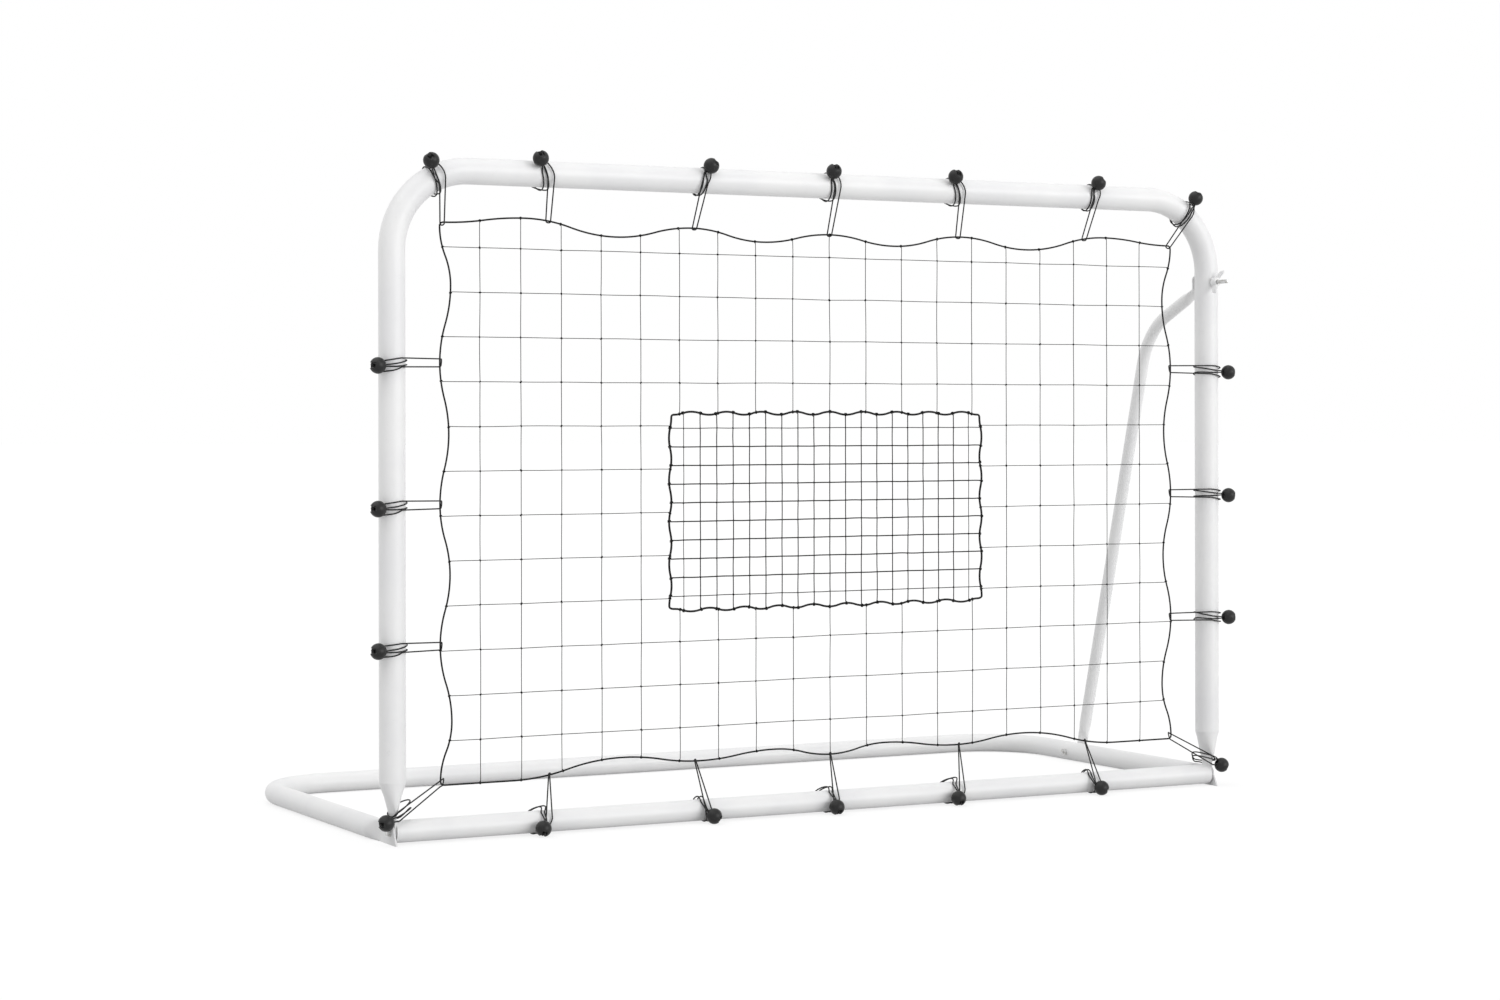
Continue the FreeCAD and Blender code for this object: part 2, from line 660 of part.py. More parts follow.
def arc_legs(centre, radius, start, stop, parts):
    """Arcs round centre from one angle to another, each given by three points."""
    step = (stop - start) / (2 * parts)
    points = [(centre[0] + radius * math.cos(math.radians(start + k * step)),
               centre[1] + radius * math.sin(math.radians(start + k * step))) for k in range(2 * parts + 1)]
    return [("arc", points[2 * k:2 * k + 3]) for k in range(parts)]


def tangent_angle(centre, point, radius, side):
    """Angle of the touching point on a circle of a line from point; side +1 or -1 picks which one."""
    n, f = point[0] - centre[0], point[1] - centre[1]
    return math.degrees(math.atan2(f, n)) + side * math.degrees(math.acos(radius / math.hypot(n, f)))


def tie(net_point, ball_point, ball_front, axis_point, tube_dir, front_radius, back_circle, hook_radius,
        legs_half):
    """Elastic tie: a loop hooked over the net's cord, a loop round the tube and the ball they end in.

    net_point, ball_point and axis_point are (x, height over the pivot line) in the net's plane.
    In the tie's own plane n runs outward and f forward, from the point on the tube's axis."""
    out = Vector(ball_point[0] - net_point[0], 0, ball_point[1] - net_point[1]).normalize()
    centre = at(axis_point[0], 0, axis_point[1])

    def place(n, f, side):
        return centre + out * n + front * f + tube_dir * side
    knot = ((at(ball_point[0], 0, ball_point[1]) - centre).dot(out), ball_front)
    cord = ((at(net_point[0], 0, net_point[1]) - centre).dot(out), 0.0)
    from_ball = tangent_angle((0, 0), knot, front_radius, 1)
    to_net = 90 + math.degrees(math.asin((front_radius - hook_radius) / -cord[0]))
    if to_net > from_ball + 1:
        legs = arc_legs((0, 0), front_radius, from_ball, to_net, 1)
        legs.insert(0, ("line", [knot, legs[0][1][0]]))
    else:
        legs = []
        to_net = tangent_angle(cord, knot, hook_radius, 1)
    hook = arc_legs(cord, hook_radius, to_net, 180, 1)
    legs.append(("line", [legs[-1][1][-1] if legs else knot, hook[0][1][0]]))
    legs += hook
    net_loop = hairpin(place, legs, legs_half, hook[0][1][-1], (0, -1), cord_radius)
    back, back_radius = back_circle
    behind = tangent_angle((0, back), knot, back_radius, -1)
    round_back = arc_legs((0, back), back_radius, behind, -180, 3)
    legs = [("line", [knot, round_back[0][1][0]])] + round_back
    if back < 0:
        legs.append(("line", [round_back[-1][1][-1], (-back_radius, 0)]))
    tube_loop = hairpin(place, legs, wrap_half, (-back_radius, 0), (0, 1), cord_radius)
    ball_centre = place(knot[0], knot[1], 0)
    ball_out = (out * knot[0] + front * (knot[1] - back)).normalize()
    room = Part.makeSphere(ball_radius + cord_gap, ball_centre)
    loops = [piece for loop in (net_loop, tube_loop) for piece in loop.cut(room).Solids]
    return loops, ball(ball_centre, ball_out, front.cross(out))


def ball(centre, out, across):
    body = Part.makeSphere(ball_radius, centre)
    body = body.cut(cylinder(ball_hole, centre - out * (ball_radius + 1), out, 2 * ball_radius + 2))
    wide = out.cross(across)
    corner = centre + out * (ball_radius - ball_slot_depth) - across * (ball_slot / 2) - wide * 30
    points = [corner, corner + across * ball_slot, corner + across * ball_slot + wide * 60, corner + wide * 60]
    return body.cut(plate(polygon(points), out * (ball_slot_depth + 1)))


def crossing(net_point, ball_point, axis_value, level):
    """Where the line from net to ball crosses a tube axis, level along x or upright at one x."""
    if level:
        share = (axis_value - net_point[1]) / (ball_point[1] - net_point[1])
    else:
        share = (axis_value - net_point[0]) / (ball_point[0] - net_point[0])
    return tuple(net_point[i] + share * (ball_point[i] - net_point[i]) for i in (0, 1))


def wrap(radius, net_point, ball_point, spoke, play):
    """Radius of a cord round a tube that the tie crosses at a slant; spoke is square to the tube."""
    run = (ball_point[0] - net_point[0], ball_point[1] - net_point[1])
    square = abs(run[0] * spoke[0] + run[1] * spoke[1]) / math.hypot(*spoke)
    return radius * math.hypot(*run) / square + cord_radius + cord_gap + play


def hook_round(net_point, ball_point, slope, square, legs_half):
    """Radius of a hook over the net's cord, which rises by slope across the two strands."""
    run = (ball_point[0] - net_point[0], ball_point[1] - net_point[1])
    slant = math.hypot(*run) / abs(run[0] * square[0] + run[1] * square[1])
    return edge_cord * slant + cord_radius + cord_gap + 1.3 * legs_half * abs(slope) + 0.1


def round_tube(radius, net_point, ball_point, ball_front, centre, spoke, play, hook, legs_half):
    size = math.hypot(*spoke)
    tube_dir = Vector(spoke[1] / size, 0, -spoke[0] / size)
    turn = wrap(radius, net_point, ball_point, spoke, play)
    return tie(net_point, ball_point, ball_front, centre, tube_dir, turn, (0.0, turn), hook, legs_half)


def corner_tie(sign, ball_point, net_point, hook):
    """Tie over the bend of a top corner."""
    bend = (sign * (half - corner_bend), frame_rise - corner_bend)
    run = (ball_point[0] - net_point[0], ball_point[1] - net_point[1])
    from_bend = (net_point[0] - bend[0], net_point[1] - bend[1])
    a = run[0] ** 2 + run[1] ** 2
    b = run[0] * from_bend[0] + run[1] * from_bend[1]
    c = from_bend[0] ** 2 + from_bend[1] ** 2 - corner_bend ** 2
    share = (-b + math.sqrt(b * b - a * c)) / a
    centre = (net_point[0] + share * run[0], net_point[1] + share * run[1])
    spoke = (centre[0] - bend[0], centre[1] - bend[1])
    return round_tube(upper_radius, net_point, ball_point, top_corner_ball_front, centre, spoke, bend_play,
                      hook, corner_leg_half)


def slope_at(points, x):
    return (wave_at(points, x + 1) - wave_at(points, x - 1)) / 2


def all_ties():
    top, low, side = net_waves()
    foot_out = pivot_z - ball_radius - cord_gap
    foot_front = math.sqrt((bar_radius + ball_radius + 4) ** 2 - foot_out ** 2)
    groups = {"top": [], "left": [], "right": [], "bottom": []}
    for share, shift in bar_ties:
        x = share * net_half
        net_point = (x, net_top + wave_at(top, x))
        ball_point = (x + shift, frame_rise + top_ball[0])
        hook = hook_round(net_point, ball_point, slope_at(top, x), (0, 1), leg_half)
        groups["top"].append(round_tube(upper_radius, net_point, ball_point, top_ball[1],
                                        crossing(net_point, ball_point, frame_rise, True),
                                        (0, 1), 0, hook, leg_half))
        net_point = (x, net_bottom + wave_at(low, x))
        ball_point = (x + shift, -foot_out)
        hook = hook_round(net_point, ball_point, slope_at(low, x), (0, 1), leg_half)
        groups["bottom"].append(round_tube(bar_radius, net_point, ball_point, foot_front,
                                           crossing(net_point, ball_point, 0, True),
                                           (0, 1), 0, hook, leg_half))
    for name, sign in (("left", -1), ("right", 1)):
        for share, shift in side_ties:
            z = side_height(share)
            net_point = (sign * (net_half - wave_at(side, z)), z)
            ball_point = (sign * (half + side_ball[0]), z + shift)
            hook = hook_round(net_point, ball_point, slope_at(side, z), (1, 0), leg_half)
            groups[name].append(round_tube(upper_radius, net_point, ball_point, side_ball[1],
                                           crossing(net_point, ball_point, sign * half, False),
                                           (1, 0), 0, hook, leg_half))
    for sign, (inward, above) in zip((-1, 1), top_corner_balls):
        net_point = (sign * (net_half - corner_hook_in), net_top - corner_round)
        ball_point = (sign * (half - inward), frame_rise + above)
        hook = hook_round(net_point, ball_point, 0.1, (0, 1), corner_leg_half) + corner_round
        made = corner_tie(sign, ball_point, net_point, hook)
        groups["top"].insert(0 if sign < 0 else len(groups["top"]), made)
        net_point = (sign * (net_half - corner_round), net_bottom + corner_hook_in)
        ball_point = (sign * (half + foot_ball[0]), foot_ball[2])
        hook = hook_round(net_point, ball_point, 0.1, (1, 0), corner_leg_half) + corner_round
        made = tie(net_point, ball_point, foot_ball[1], (sign * half, foot_tie_rise), Vector(0, 0, 1),
                   foot_front_wrap, (-foot_back_centre, foot_back_wrap), hook, corner_leg_half)
        groups["bottom"].insert(0 if sign < 0 else len(groups["bottom"]), made)
    return groups


os.makedirs("parts", exist_ok=True)
top_seam = half - corner_bend - top_stub
rear_seam = side_x - rear_bend - rear_stub
export("left_upright", [upright(-1)])
export("right_upright", [upright(1)])
export("top_bar", [swaged_bar(top_seam, 0, frame_rise, upper_radius, upper_wall)])
export("top_joint_screws", joint_screws(top_seam, 0, frame_rise, upper_radius))
export("front_bar", [front_bar()])
corner_sets = [corner_hardware(side) for side in (-1, 1)]
for i, name in enumerate(("corner_bolts", "corner_washers", "front_bar_plugs")):
    export(name, [pieces[i] for pieces in corner_sets])
export("left_side_tube", [side_tube(-1)])
export("right_side_tube", [side_tube(1)])
export("rear_bar", [swaged_bar(rear_seam, base_depth, side_drop, base_radius, base_wall)])
export("rear_joint_screws", joint_screws(rear_seam, base_depth, side_drop, base_radius))
export("rear_brace", [brace()])
for name, piece in zip(("brace_foot_bolt", "brace_foot_washer", "brace_foot_nut"), foot_hardware()):
    export(name, [piece])
export("clamp_stud", [clamp_stud()])
export("clamp_washer", [clamp_washer()])
export("wing_nut", [wing_nut()])
export("net", big_net())
top_line, low_line, side_line = net_waves()
export("net_edge_cord", [edge_loop(net_half, net_top, net_bottom, top_line, low_line, side_line, edge_cord)])
export("target_net", fine_net())
export("target_edge_cord", [target_loop()])
for group, ties in all_ties().items():
    for number, (loops, _) in enumerate(ties, 1):
        export(group + "_tie_" + str(number), loops)
    export(group + "_balls", [made for _, made in ties])
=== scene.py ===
import json
import math
import bpy
import numpy as np
from mathutils import Matrix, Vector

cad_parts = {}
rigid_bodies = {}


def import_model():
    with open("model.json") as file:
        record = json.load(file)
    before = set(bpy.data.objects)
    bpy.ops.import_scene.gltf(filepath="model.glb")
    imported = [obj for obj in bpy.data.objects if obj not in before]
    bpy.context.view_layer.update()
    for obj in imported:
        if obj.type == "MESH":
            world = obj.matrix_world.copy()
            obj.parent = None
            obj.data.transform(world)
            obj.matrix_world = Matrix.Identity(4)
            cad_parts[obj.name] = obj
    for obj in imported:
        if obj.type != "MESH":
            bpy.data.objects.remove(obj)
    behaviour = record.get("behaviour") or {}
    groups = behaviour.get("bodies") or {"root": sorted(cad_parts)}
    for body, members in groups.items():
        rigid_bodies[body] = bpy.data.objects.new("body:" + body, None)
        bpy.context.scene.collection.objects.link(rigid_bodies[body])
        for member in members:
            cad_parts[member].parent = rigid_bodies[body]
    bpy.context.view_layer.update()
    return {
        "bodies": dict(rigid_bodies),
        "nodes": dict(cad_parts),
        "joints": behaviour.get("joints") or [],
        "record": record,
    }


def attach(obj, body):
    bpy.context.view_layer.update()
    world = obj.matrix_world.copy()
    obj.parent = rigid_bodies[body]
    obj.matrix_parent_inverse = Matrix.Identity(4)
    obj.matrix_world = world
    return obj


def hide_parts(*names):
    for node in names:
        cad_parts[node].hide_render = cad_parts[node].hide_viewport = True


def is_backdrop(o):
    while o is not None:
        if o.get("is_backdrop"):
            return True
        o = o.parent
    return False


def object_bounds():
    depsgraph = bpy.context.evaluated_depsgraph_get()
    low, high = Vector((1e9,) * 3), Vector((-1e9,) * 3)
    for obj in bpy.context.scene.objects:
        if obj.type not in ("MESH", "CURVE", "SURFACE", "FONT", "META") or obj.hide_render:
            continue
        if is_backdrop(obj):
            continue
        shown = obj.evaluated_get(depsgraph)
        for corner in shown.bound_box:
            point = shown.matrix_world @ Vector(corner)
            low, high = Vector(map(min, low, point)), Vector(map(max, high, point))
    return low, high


for spare in list(bpy.data.objects):
    bpy.data.objects.remove(spare)
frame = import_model()
nodes = frame["nodes"]
print("frame loaded:", len(nodes), "CAD nodes")

# Lengths below are millimetres until makePiece turns them into metres.
# A place is (x, back from the net's plane, up from the pivot line).
layout = {
    "netPlane": -350.6,     # where the net's plane and the pivot line lie in the frame
    "pivotLine": 22.7,
    "postHalf": 891.0,      # axis of an upright from the middle
    "frameRise": 1176.0,    # axis of the top bar over the pivot line
    "upperRadius": 24.0,    # tube of the uprights and the top bar
    "barRadius": 20.0,      # tube of the front bar
    "cornerBend": 145.0,
}
tau = 2 * math.pi

def unit(vectors):
    # each row divided by its own length
    return vectors / np.linalg.norm(vectors, axis=-1, keepdims=True)

def dot(a, b):
    # products of two rows added up, kept as a column
    return (a * b).sum(-1, keepdims=True)

def smooth(x):
    # 3x^2 - 2x^3 between 0 and 1
    x = np.clip(x, 0, 1)
    return x * x * (3 - 2 * x)

def roundness(angle, power):
    # cosine and sine, each to the power 2 / power with its sign kept: 2 gives a circle
    c, s = np.cos(angle), np.sin(angle)
    return np.sign(c) * np.abs(c) ** (2 / power), np.sign(s) * np.abs(s) ** (2 / power)

def distances(path):
    # length along the path at each of its points
    return np.concatenate([[0], np.cumsum(np.linalg.norm(np.diff(path, axis=0), axis=1))])

def skin(rings, sides, closed, along):
    # Faces between each ring of points and the next, with UV (place along, share of the way round).
    i, j = np.meshgrid(np.arange(rings if closed else rings - 1), np.arange(sides), indexing="ij")
    k, following = (j + 1) % sides, (i + 1) % rings * sides
    quads = np.stack([i * sides + j, i * sides + k, following + k, following + j], -1)
    uv = np.stack([np.stack([along[i + a], (j + b) / sides], -1)
                   for a, b in ((0, 0), (0, 1), (1, 1), (1, 0))], 2)
    last = (rings - 1) * sides
    caps = [] if closed else [list(range(sides))[::-1], list(range(last, last + sides))]
    return {"quads": quads.reshape(-1, 4), "uv": uv.reshape(-1, 2), "caps": caps}

def ringTube(path, refs, radius, sides, closed=False, flat=1.0, power=2.0):
    # At each path point a ring: centre + radius (c ref + flat s side), where side is the tangent
    # crossed with ref and (c, s) run round a superellipse of the given power.
    path = np.asarray(path, float)
    if closed:
        ahead, behind = np.roll(path, -1, 0), np.roll(path, 1, 0)
    else:
        ahead = np.vstack([path[1:], 2 * path[-1:] - path[-2:-1]])
        behind = np.vstack([2 * path[:1] - path[1:2], path[:-1]])
    tangent = unit(ahead - behind)
    refs = np.broadcast_to(refs, path.shape)
    refs = unit(refs - dot(refs, tangent) * tangent)
    side = np.cross(tangent, refs)
    c, s = roundness(tau * np.arange(sides) / sides, power)
    radius = np.broadcast_to(radius, len(path))[:, None, None]
    flat = np.broadcast_to(flat, len(path))[:, None, None]
    points = path[:, None] + radius * (c[:, None] * refs[:, None] + flat * s[:, None] * side[:, None])
    along = distances(path)
    along = np.append(along, along[-1] + np.linalg.norm(path[0] - path[-1]))
    return {"points": points.reshape(-1, 3), **skin(len(path), sides, closed, along)}

def lathe(profile, sides, reshape=None):
    # (radius, height) pairs turned about z, from the bottom up, with a flat cap at each end.
    profile = np.asarray(profile, float)
    turn = tau * np.arange(sides) / sides
    points = np.stack([profile[:, :1] * np.cos(turn), profile[:, :1] * np.sin(turn),
                       np.broadcast_to(profile[:, 1:], (len(profile), sides))], -1)
    if reshape is not None:
        points = reshape(points)
    along = np.arange(len(profile) + 1.0)
    return {"points": points.reshape(-1, 3), **skin(len(profile), sides, False, along)}

def scatter(part, places, frames, scales=1.0):
    # The same small part at every place: place + scale times its points on that place's three axes.
    places, frames = np.asarray(places, float), np.asarray(frames, float)
    scales = np.broadcast_to(scales, len(places))[:, None, None]
    points = places[:, None] + scales * np.einsum("vk,nkx->nvx", part["points"], frames)
    count = len(part["points"])
    shift = np.arange(len(places))[:, None, None] * count
    caps = [[v + int(n) * count for v in cap] for n in range(len(places)) for cap in part["caps"]]
    return {"points": points.reshape(-1, 3), "quads": (part["quads"][None] + shift).reshape(-1, 4),
            "uv": np.tile(part["uv"], (len(places), 1)), "caps": caps}

def inScene(name, data):
    # a new object in the scene
    made = bpy.data.objects.new(name, data)
    bpy.context.scene.collection.objects.link(made)
    return made

def makePiece(name, parts, material, body, replaced):
    # Joins the parts, moves them from the pivot line to the frame's origin and makes a piece in metres.
    starts = np.cumsum([0] + [len(p["points"]) for p in parts])
    points = np.vstack([p["points"] for p in parts]) + (0, layout["netPlane"], layout["pivotLine"])
    quads = np.vstack([p["quads"] + s for p, s in zip(parts, starts)])
    caps = [[v + int(s) for v in cap] for p, s in zip(parts, starts) for cap in p["caps"]]
    mesh = bpy.data.meshes.new(name)
    mesh.from_pydata((points / 1000).tolist(), [], quads.tolist() + caps)
    mesh.polygons.foreach_set("use_smooth", np.ones(len(mesh.polygons), bool))
    layer = mesh.uv_layers.new(name="UVMap")
    uv = np.zeros((len(mesh.loops), 2))
    uv[:len(quads) * 4] = np.vstack([p["uv"] for p in parts])
    layer.data.foreach_set("uv", (uv * (0.001, 1)).ravel().astype(np.float32))
    mesh.materials.append(material)
    piece = inScene(name, mesh)
    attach(piece, body)
    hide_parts(*replaced)

def resample(path, spacing, *others):
    # Points at even steps along the path, and the same share of each other array.
    along = distances(path)
    even = np.linspace(0, along[-1], max(3, int(round(along[-1] / spacing)) + 1))
    return [np.stack([np.interp(even, along, a[:, k]) for k in range(a.shape[1])], 1)
            for a in (path, *others)]

def soften(path, times):
    # Repeated average, half a point and a quarter of each neighbour, the ends held: rounds small kinks.
    for _ in range(times):
        middle = 0.25 * path[:-2] + 0.5 * path[1:-1] + 0.25 * path[2:]
        path = np.vstack([path[:1], middle, path[-1:]])
    return path

class Value:
    # A node's output socket. Python's operators on it add Math nodes.
    def __init__(self, finish, socket):
        self.finish, self.socket = finish, socket

    def maths(self, operation, *values):
        return self.finish.node("Math", {"operation": operation}, dict(enumerate(values)))

    def __add__(self, other):
        return self.maths("ADD", self, other)

    def __sub__(self, other):
        return self.maths("SUBTRACT", self, other)

    def __mul__(self, other):
        return self.maths("MULTIPLY", self, other)

    __radd__, __rmul__ = __add__, __mul__

    def sine(self):
        return self.maths("SINE", self)

    def most(self, other):
        return self.maths("MAXIMUM", self, other)

    def between(self, low, high):
        # 0 below low, 1 above high, smooth in between
        return self.finish.node("MapRange", {"interpolation_type": "SMOOTHSTEP", "clamp": True},
                                {"Value": self, "From Min": low, "From Max": high})

    def also(self, output):
        # another output of the same node
        return Value(self.finish, self.socket.node.outputs[output])

class Finish:
    # The nodes of a material or the world, round the shader that it starts with.
    def __init__(self, holder, shader="BSDF_PRINCIPLED"):
        holder.use_nodes = True
        self.holder, self.tree = holder, holder.node_tree
        self.shader = next(n for n in self.tree.nodes if n.type == shader)

    def put(self, socket, value):
        if isinstance(value, Value):
            self.tree.links.new(value.socket, socket)
        else:
            socket.default_value = value

    def node(self, kind, settings=None, inputs=None, out=0):
        made = self.tree.nodes.new("ShaderNode" + kind)
        for key, value in (settings or {}).items():
            setattr(made, key, value)
        for key, value in (inputs or {}).items():
            self.put(made.inputs[key], value)
        return Value(self, made.outputs[out])

    def shade(self, **inputs):
        for key, value in inputs.items():
            self.put(self.shader.inputs[key.replace("_", " ")], value)
        return self.holder

    def noise(self, scale, detail=2.0, vector=None, roughness=0.5):
        vector = vector or self.node("TexCoord", out="Object")
        return self.node("TexNoise", None, {"Vector": vector, "Scale": scale, "Detail": detail,
                                                      "Roughness": roughness})

    def stretched(self, scale, detail=2.0):
        # noise drawn out by a different scale along each object axis
        place = self.node("TexCoord", out="Object")
        mapped = self.node("Mapping", None, {"Vector": place, "Scale": scale})
        return self.noise(1.0, detail, mapped)

    def blend(self, share, first, second):
        return self.node("Mix", {"data_type": "RGBA"}, {"Factor": share, 6: first, 7: second}, out=2)

    def bump(self, height, look):
        return self.node("Bump", None, {"Height": height, "Strength": look["relief"],
                                                  "Distance": look["depth"]})

    def along(self):
        # metres along the cord and the share of the way round it, from the piece's own UV map
        uv = self.node("UVMap", {"uv_map": "UVMap"})
        split = self.node("SeparateXYZ", None, {"Vector": uv})
        return split, split.also("Y")

    def shown(self):
        # 1 for what the camera, a mirror or glass sees, 0 for the light that reaches the object
        rays = self.node("LightPath", out="Is Camera Ray")
        return rays.most(rays.also("Is Glossy Ray")).most(rays.also("Is Transmission Ray"))

def grey(level, tint=(1.0, 1.0, 1.0)):
    # a level of grey times its tint, opaque
    return tuple(level * t for t in tint) + (1.0,)

# In each finish a size is the scale of a noise per metre, and relief and depth are its bump's.
whiteCoat = {
    "tone": grey(0.83), "driftTone": grey(0.79, (1.0, 1.0, 1.01)), "driftSize": 9.0,
    "dustTone": grey(0.66, (1.0, 0.99, 0.97)), "dustSize": 260.0, "dustShare": 0.08,
    "rubTone": grey(0.5, (1.0, 1.0, 0.99)), "rubSizes": (38.0, 700.0), "rubShare": 0.14,
    "peelSize": 420.0, "grainSize": 1700.0, "roughness": 0.34, "relief": 0.22, "depth": 0.00022,
}

def powderCoat(finish, look):
    # Orange peel and grain in the bump; slow drift, handling marks and small rubs in the colour.
    drift = finish.noise(look["driftSize"], 3.0).between(0.35, 0.7)
    peel, grain = finish.noise(look["peelSize"], 2.0), finish.noise(look["grainSize"], 1.0)
    dust = finish.noise(look["dustSize"], 5.0, roughness=0.7).between(0.6, 0.78)
    patches, specks = (finish.noise(size, detail) for size, detail in zip(look["rubSizes"], (4.0, 2.0)))
    rub = (patches * specks).between(0.36, 0.44)
    tone = finish.blend(drift, look["tone"], look["driftTone"])
    tone = finish.blend(dust * look["dustShare"], tone, look["dustTone"])
    tone = finish.blend(rub * look["rubShare"], tone, look["rubTone"])
    return finish.shade(Base_Color=tone, Normal=finish.bump(peel * 0.7 + grain * 0.3, look), IOR=1.5,
                        Roughness=look["roughness"] + 0.1 * grain + 0.12 * dust + 0.1 * rub)

zincPlate = {
    "light": grey(0.66, (0.99, 1.0, 1.02)), "dark": grey(0.5, (1.02, 1.0, 0.94)), "cloudSize": 180.0,
    "lineSizes": (300.0, 2600.0, 2600.0), "roughness": 0.3, "relief": 0.25, "depth": 0.00008,
}

def plating(finish, look):
    # Bare metal in two clouded tones, with fine lines along X.
    cloud = finish.noise(look["cloudSize"], 4.0).between(0.3, 0.7)
    lines = finish.stretched(look["lineSizes"])
    return finish.shade(Base_Color=finish.blend(cloud, look["light"], look["dark"]), Metallic=1.0,
                        Normal=finish.bump(lines + cloud * 0.4, look),
                        Roughness=look["roughness"] + 0.14 * cloud + 0.1 * lines)

nutCasting = {
    "tone": grey(0.82), "mottleTone": grey(0.87, (1.0, 1.0, 1.01)), "mottleSize": 120.0,
    "rubTone": grey(0.66), "rubSize": 420.0, "rubShare": 0.35,
    "grainSize": 1900.0, "roughness": 0.42, "relief": 0.3, "depth": 0.0001,
}

def moulding(finish, look):
    # Mottled tone with a sandy grain, and darker spots where it is handled.
    mottle, grain = finish.noise(look["mottleSize"], 3.0), finish.noise(look["grainSize"], 2.0)
    rub = finish.noise(look["rubSize"], 4.0).between(0.62, 0.75)
    tone = finish.blend(mottle, look["tone"], look["mottleTone"])
    return finish.shade(Base_Color=finish.blend(rub * look["rubShare"], tone, look["rubTone"]),
                        Normal=finish.bump(grain * 0.6 + mottle * 0.4, look),
                        Roughness=look["roughness"] + 0.12 * grain + 0.1 * rub)

blackBall = {
    "tone": grey(0.008, (1.0, 1.0, 1.03)), "flowTone": grey(0.014), "flowSize": 60.0,
    "scuffTone": grey(0.08), "scuffSize": 140.0, "scuffSizes": (500.0, 90.0, 900.0), "scuffShare": 0.3,
    "grainSize": 2300.0, "roughness": 0.34, "gloss": 0.3, "relief": 0.25, "depth": 0.00012,
}

def ballMoulding(finish, look):
    # Flow of the melt in the tone, fine grain, and drawn-out scuffs that are lighter and rougher.
    flow, grain = finish.noise(look["flowSize"], 3.0), finish.noise(look["grainSize"], 2.0)
    spots = finish.noise(look["scuffSize"], 5.0, roughness=0.7)
    scuff = (spots * finish.stretched(look["scuffSizes"], 3.0)).between(0.3, 0.42)
    tone = finish.blend(flow, look["tone"], look["flowTone"])
    return finish.shade(Base_Color=finish.blend(scuff * look["scuffShare"], tone, look["scuffTone"]),
                        Normal=finish.bump(grain * 0.5 + flow * 0.5, look), Specular_IOR_Level=look["gloss"],
                        Roughness=look["roughness"] + 0.1 * grain + 0.25 * scuff)

# Pitch is metres for one turn of a yarn, fuzz the scale of a noise; deep is the painted shade in the grooves
# between yarns and lit the painted light on their crests, both levels of grey.
borderBraid = {"pitch": 0.0036, "yarns": 4, "fuzz": 2400.0, "deep": 0.003, "lit": 0.009, "flecks": 0.1,
               "sheen": 0.05, "relief": 0.7, "depth": 0.0003}
elasticSleeve = {"pitch": 0.0022, "yarns": 4, "fuzz": 3000.0, "deep": 0.008, "lit": 0.022, "flecks": 0.3,
                 "sheen": 0.1, "relief": 0.7, "depth": 0.00022}

def braid(finish, look):
    # Sleeve of two yarn families that cross: the height is the greater of two diagonal waves, and the tone is
    # painted light and shade along it, lit on the crests and dark in the grooves.
    length, around = finish.along()
    turns = length * (1 / look["pitch"])
    left = ((turns + around * look["yarns"]) * tau).sine()
    right = ((turns - around * look["yarns"]) * tau).sine()
    weave = left.most(right) * 0.5 + 0.5
    fuzz = finish.noise(look["fuzz"], 3.0)
    flecks = finish.noise(look["fuzz"] * 0.3, 2.0).between(0.55, 0.75)
    # painted shade and light: the deep grey goes in the weave's grooves and the lit grey on its crests
    tone = finish.blend(weave, grey(look["deep"]), grey(look["lit"], (1.0, 1.0, 1.02)))
    return finish.shade(Base_Color=finish.blend(flecks * look["flecks"], tone, grey(look["lit"] * 3)),
                        Roughness=0.62 + 0.2 * fuzz, Normal=finish.bump(weave * 0.8 + fuzz * 0.2, look),
                        Sheen_Weight=look["sheen"], Sheen_Roughness=0.5, Specular_IOR_Level=0.2)

# deep and lit: painted shade in the twine's grooves and painted light on its crests, levels of grey
laidTwine = {"pitch": 0.004, "plies": 1, "fuzz": 2600.0, "deep": 0.004, "lit": 0.012,
             "relief": 0.6, "depth": 0.00025}

def twisted(finish, look):
    # Laid twine: one wave that runs round it as it goes along, painted as shade in its grooves and light on
    # its crests.
    length, around = finish.along()
    ply = ((length * (1 / look["pitch"]) + around * look["plies"]) * tau).sine() * 0.5 + 0.5
    fuzz = finish.noise(look["fuzz"], 3.0)
    # painted shade and light: the deep grey in the lay's grooves, the lit grey on its crests
    tone = finish.blend(ply, grey(look["deep"]), grey(look["lit"]))
    tone = finish.blend(fuzz.between(0.55, 0.8) * 0.4, tone, grey(look["lit"] * 2))
    return finish.shade(Base_Color=tone, Roughness=0.68 + 0.15 * fuzz, Specular_IOR_Level=0.2,
                        Normal=finish.bump(ply * 0.8 + fuzz * 0.2, look))

paints = {slot: make(Finish(bpy.data.materials.new(name)), look) for slot, make, name, look in (
    ("white_paint", powderCoat, "whitePowderCoat", whiteCoat),
    ("zinc", plating, "zincPlating", zincPlate),
    ("nut_grey", moulding, "greyMoulding", nutCasting),
    ("ball_plastic", ballMoulding, "ballPlastic", blackBall),
    ("net_twine", twisted, "netTwine", laidTwine),
    ("edge_cord", braid, "borderBraid", borderBraid),
    ("elastic_cord", braid, "elasticSleeve", elasticSleeve))}
for node in nodes.values():
    for place in node.material_slots:
        place.material = paints[place.material.name.split(".")[0]]
for name in ("top_joint_screws", "rear_joint_screws"):
    nodes[name].material_slots[0].material = paints["white_paint"]  # lacquered over with the tubes
print("finishes made:", len(paints))

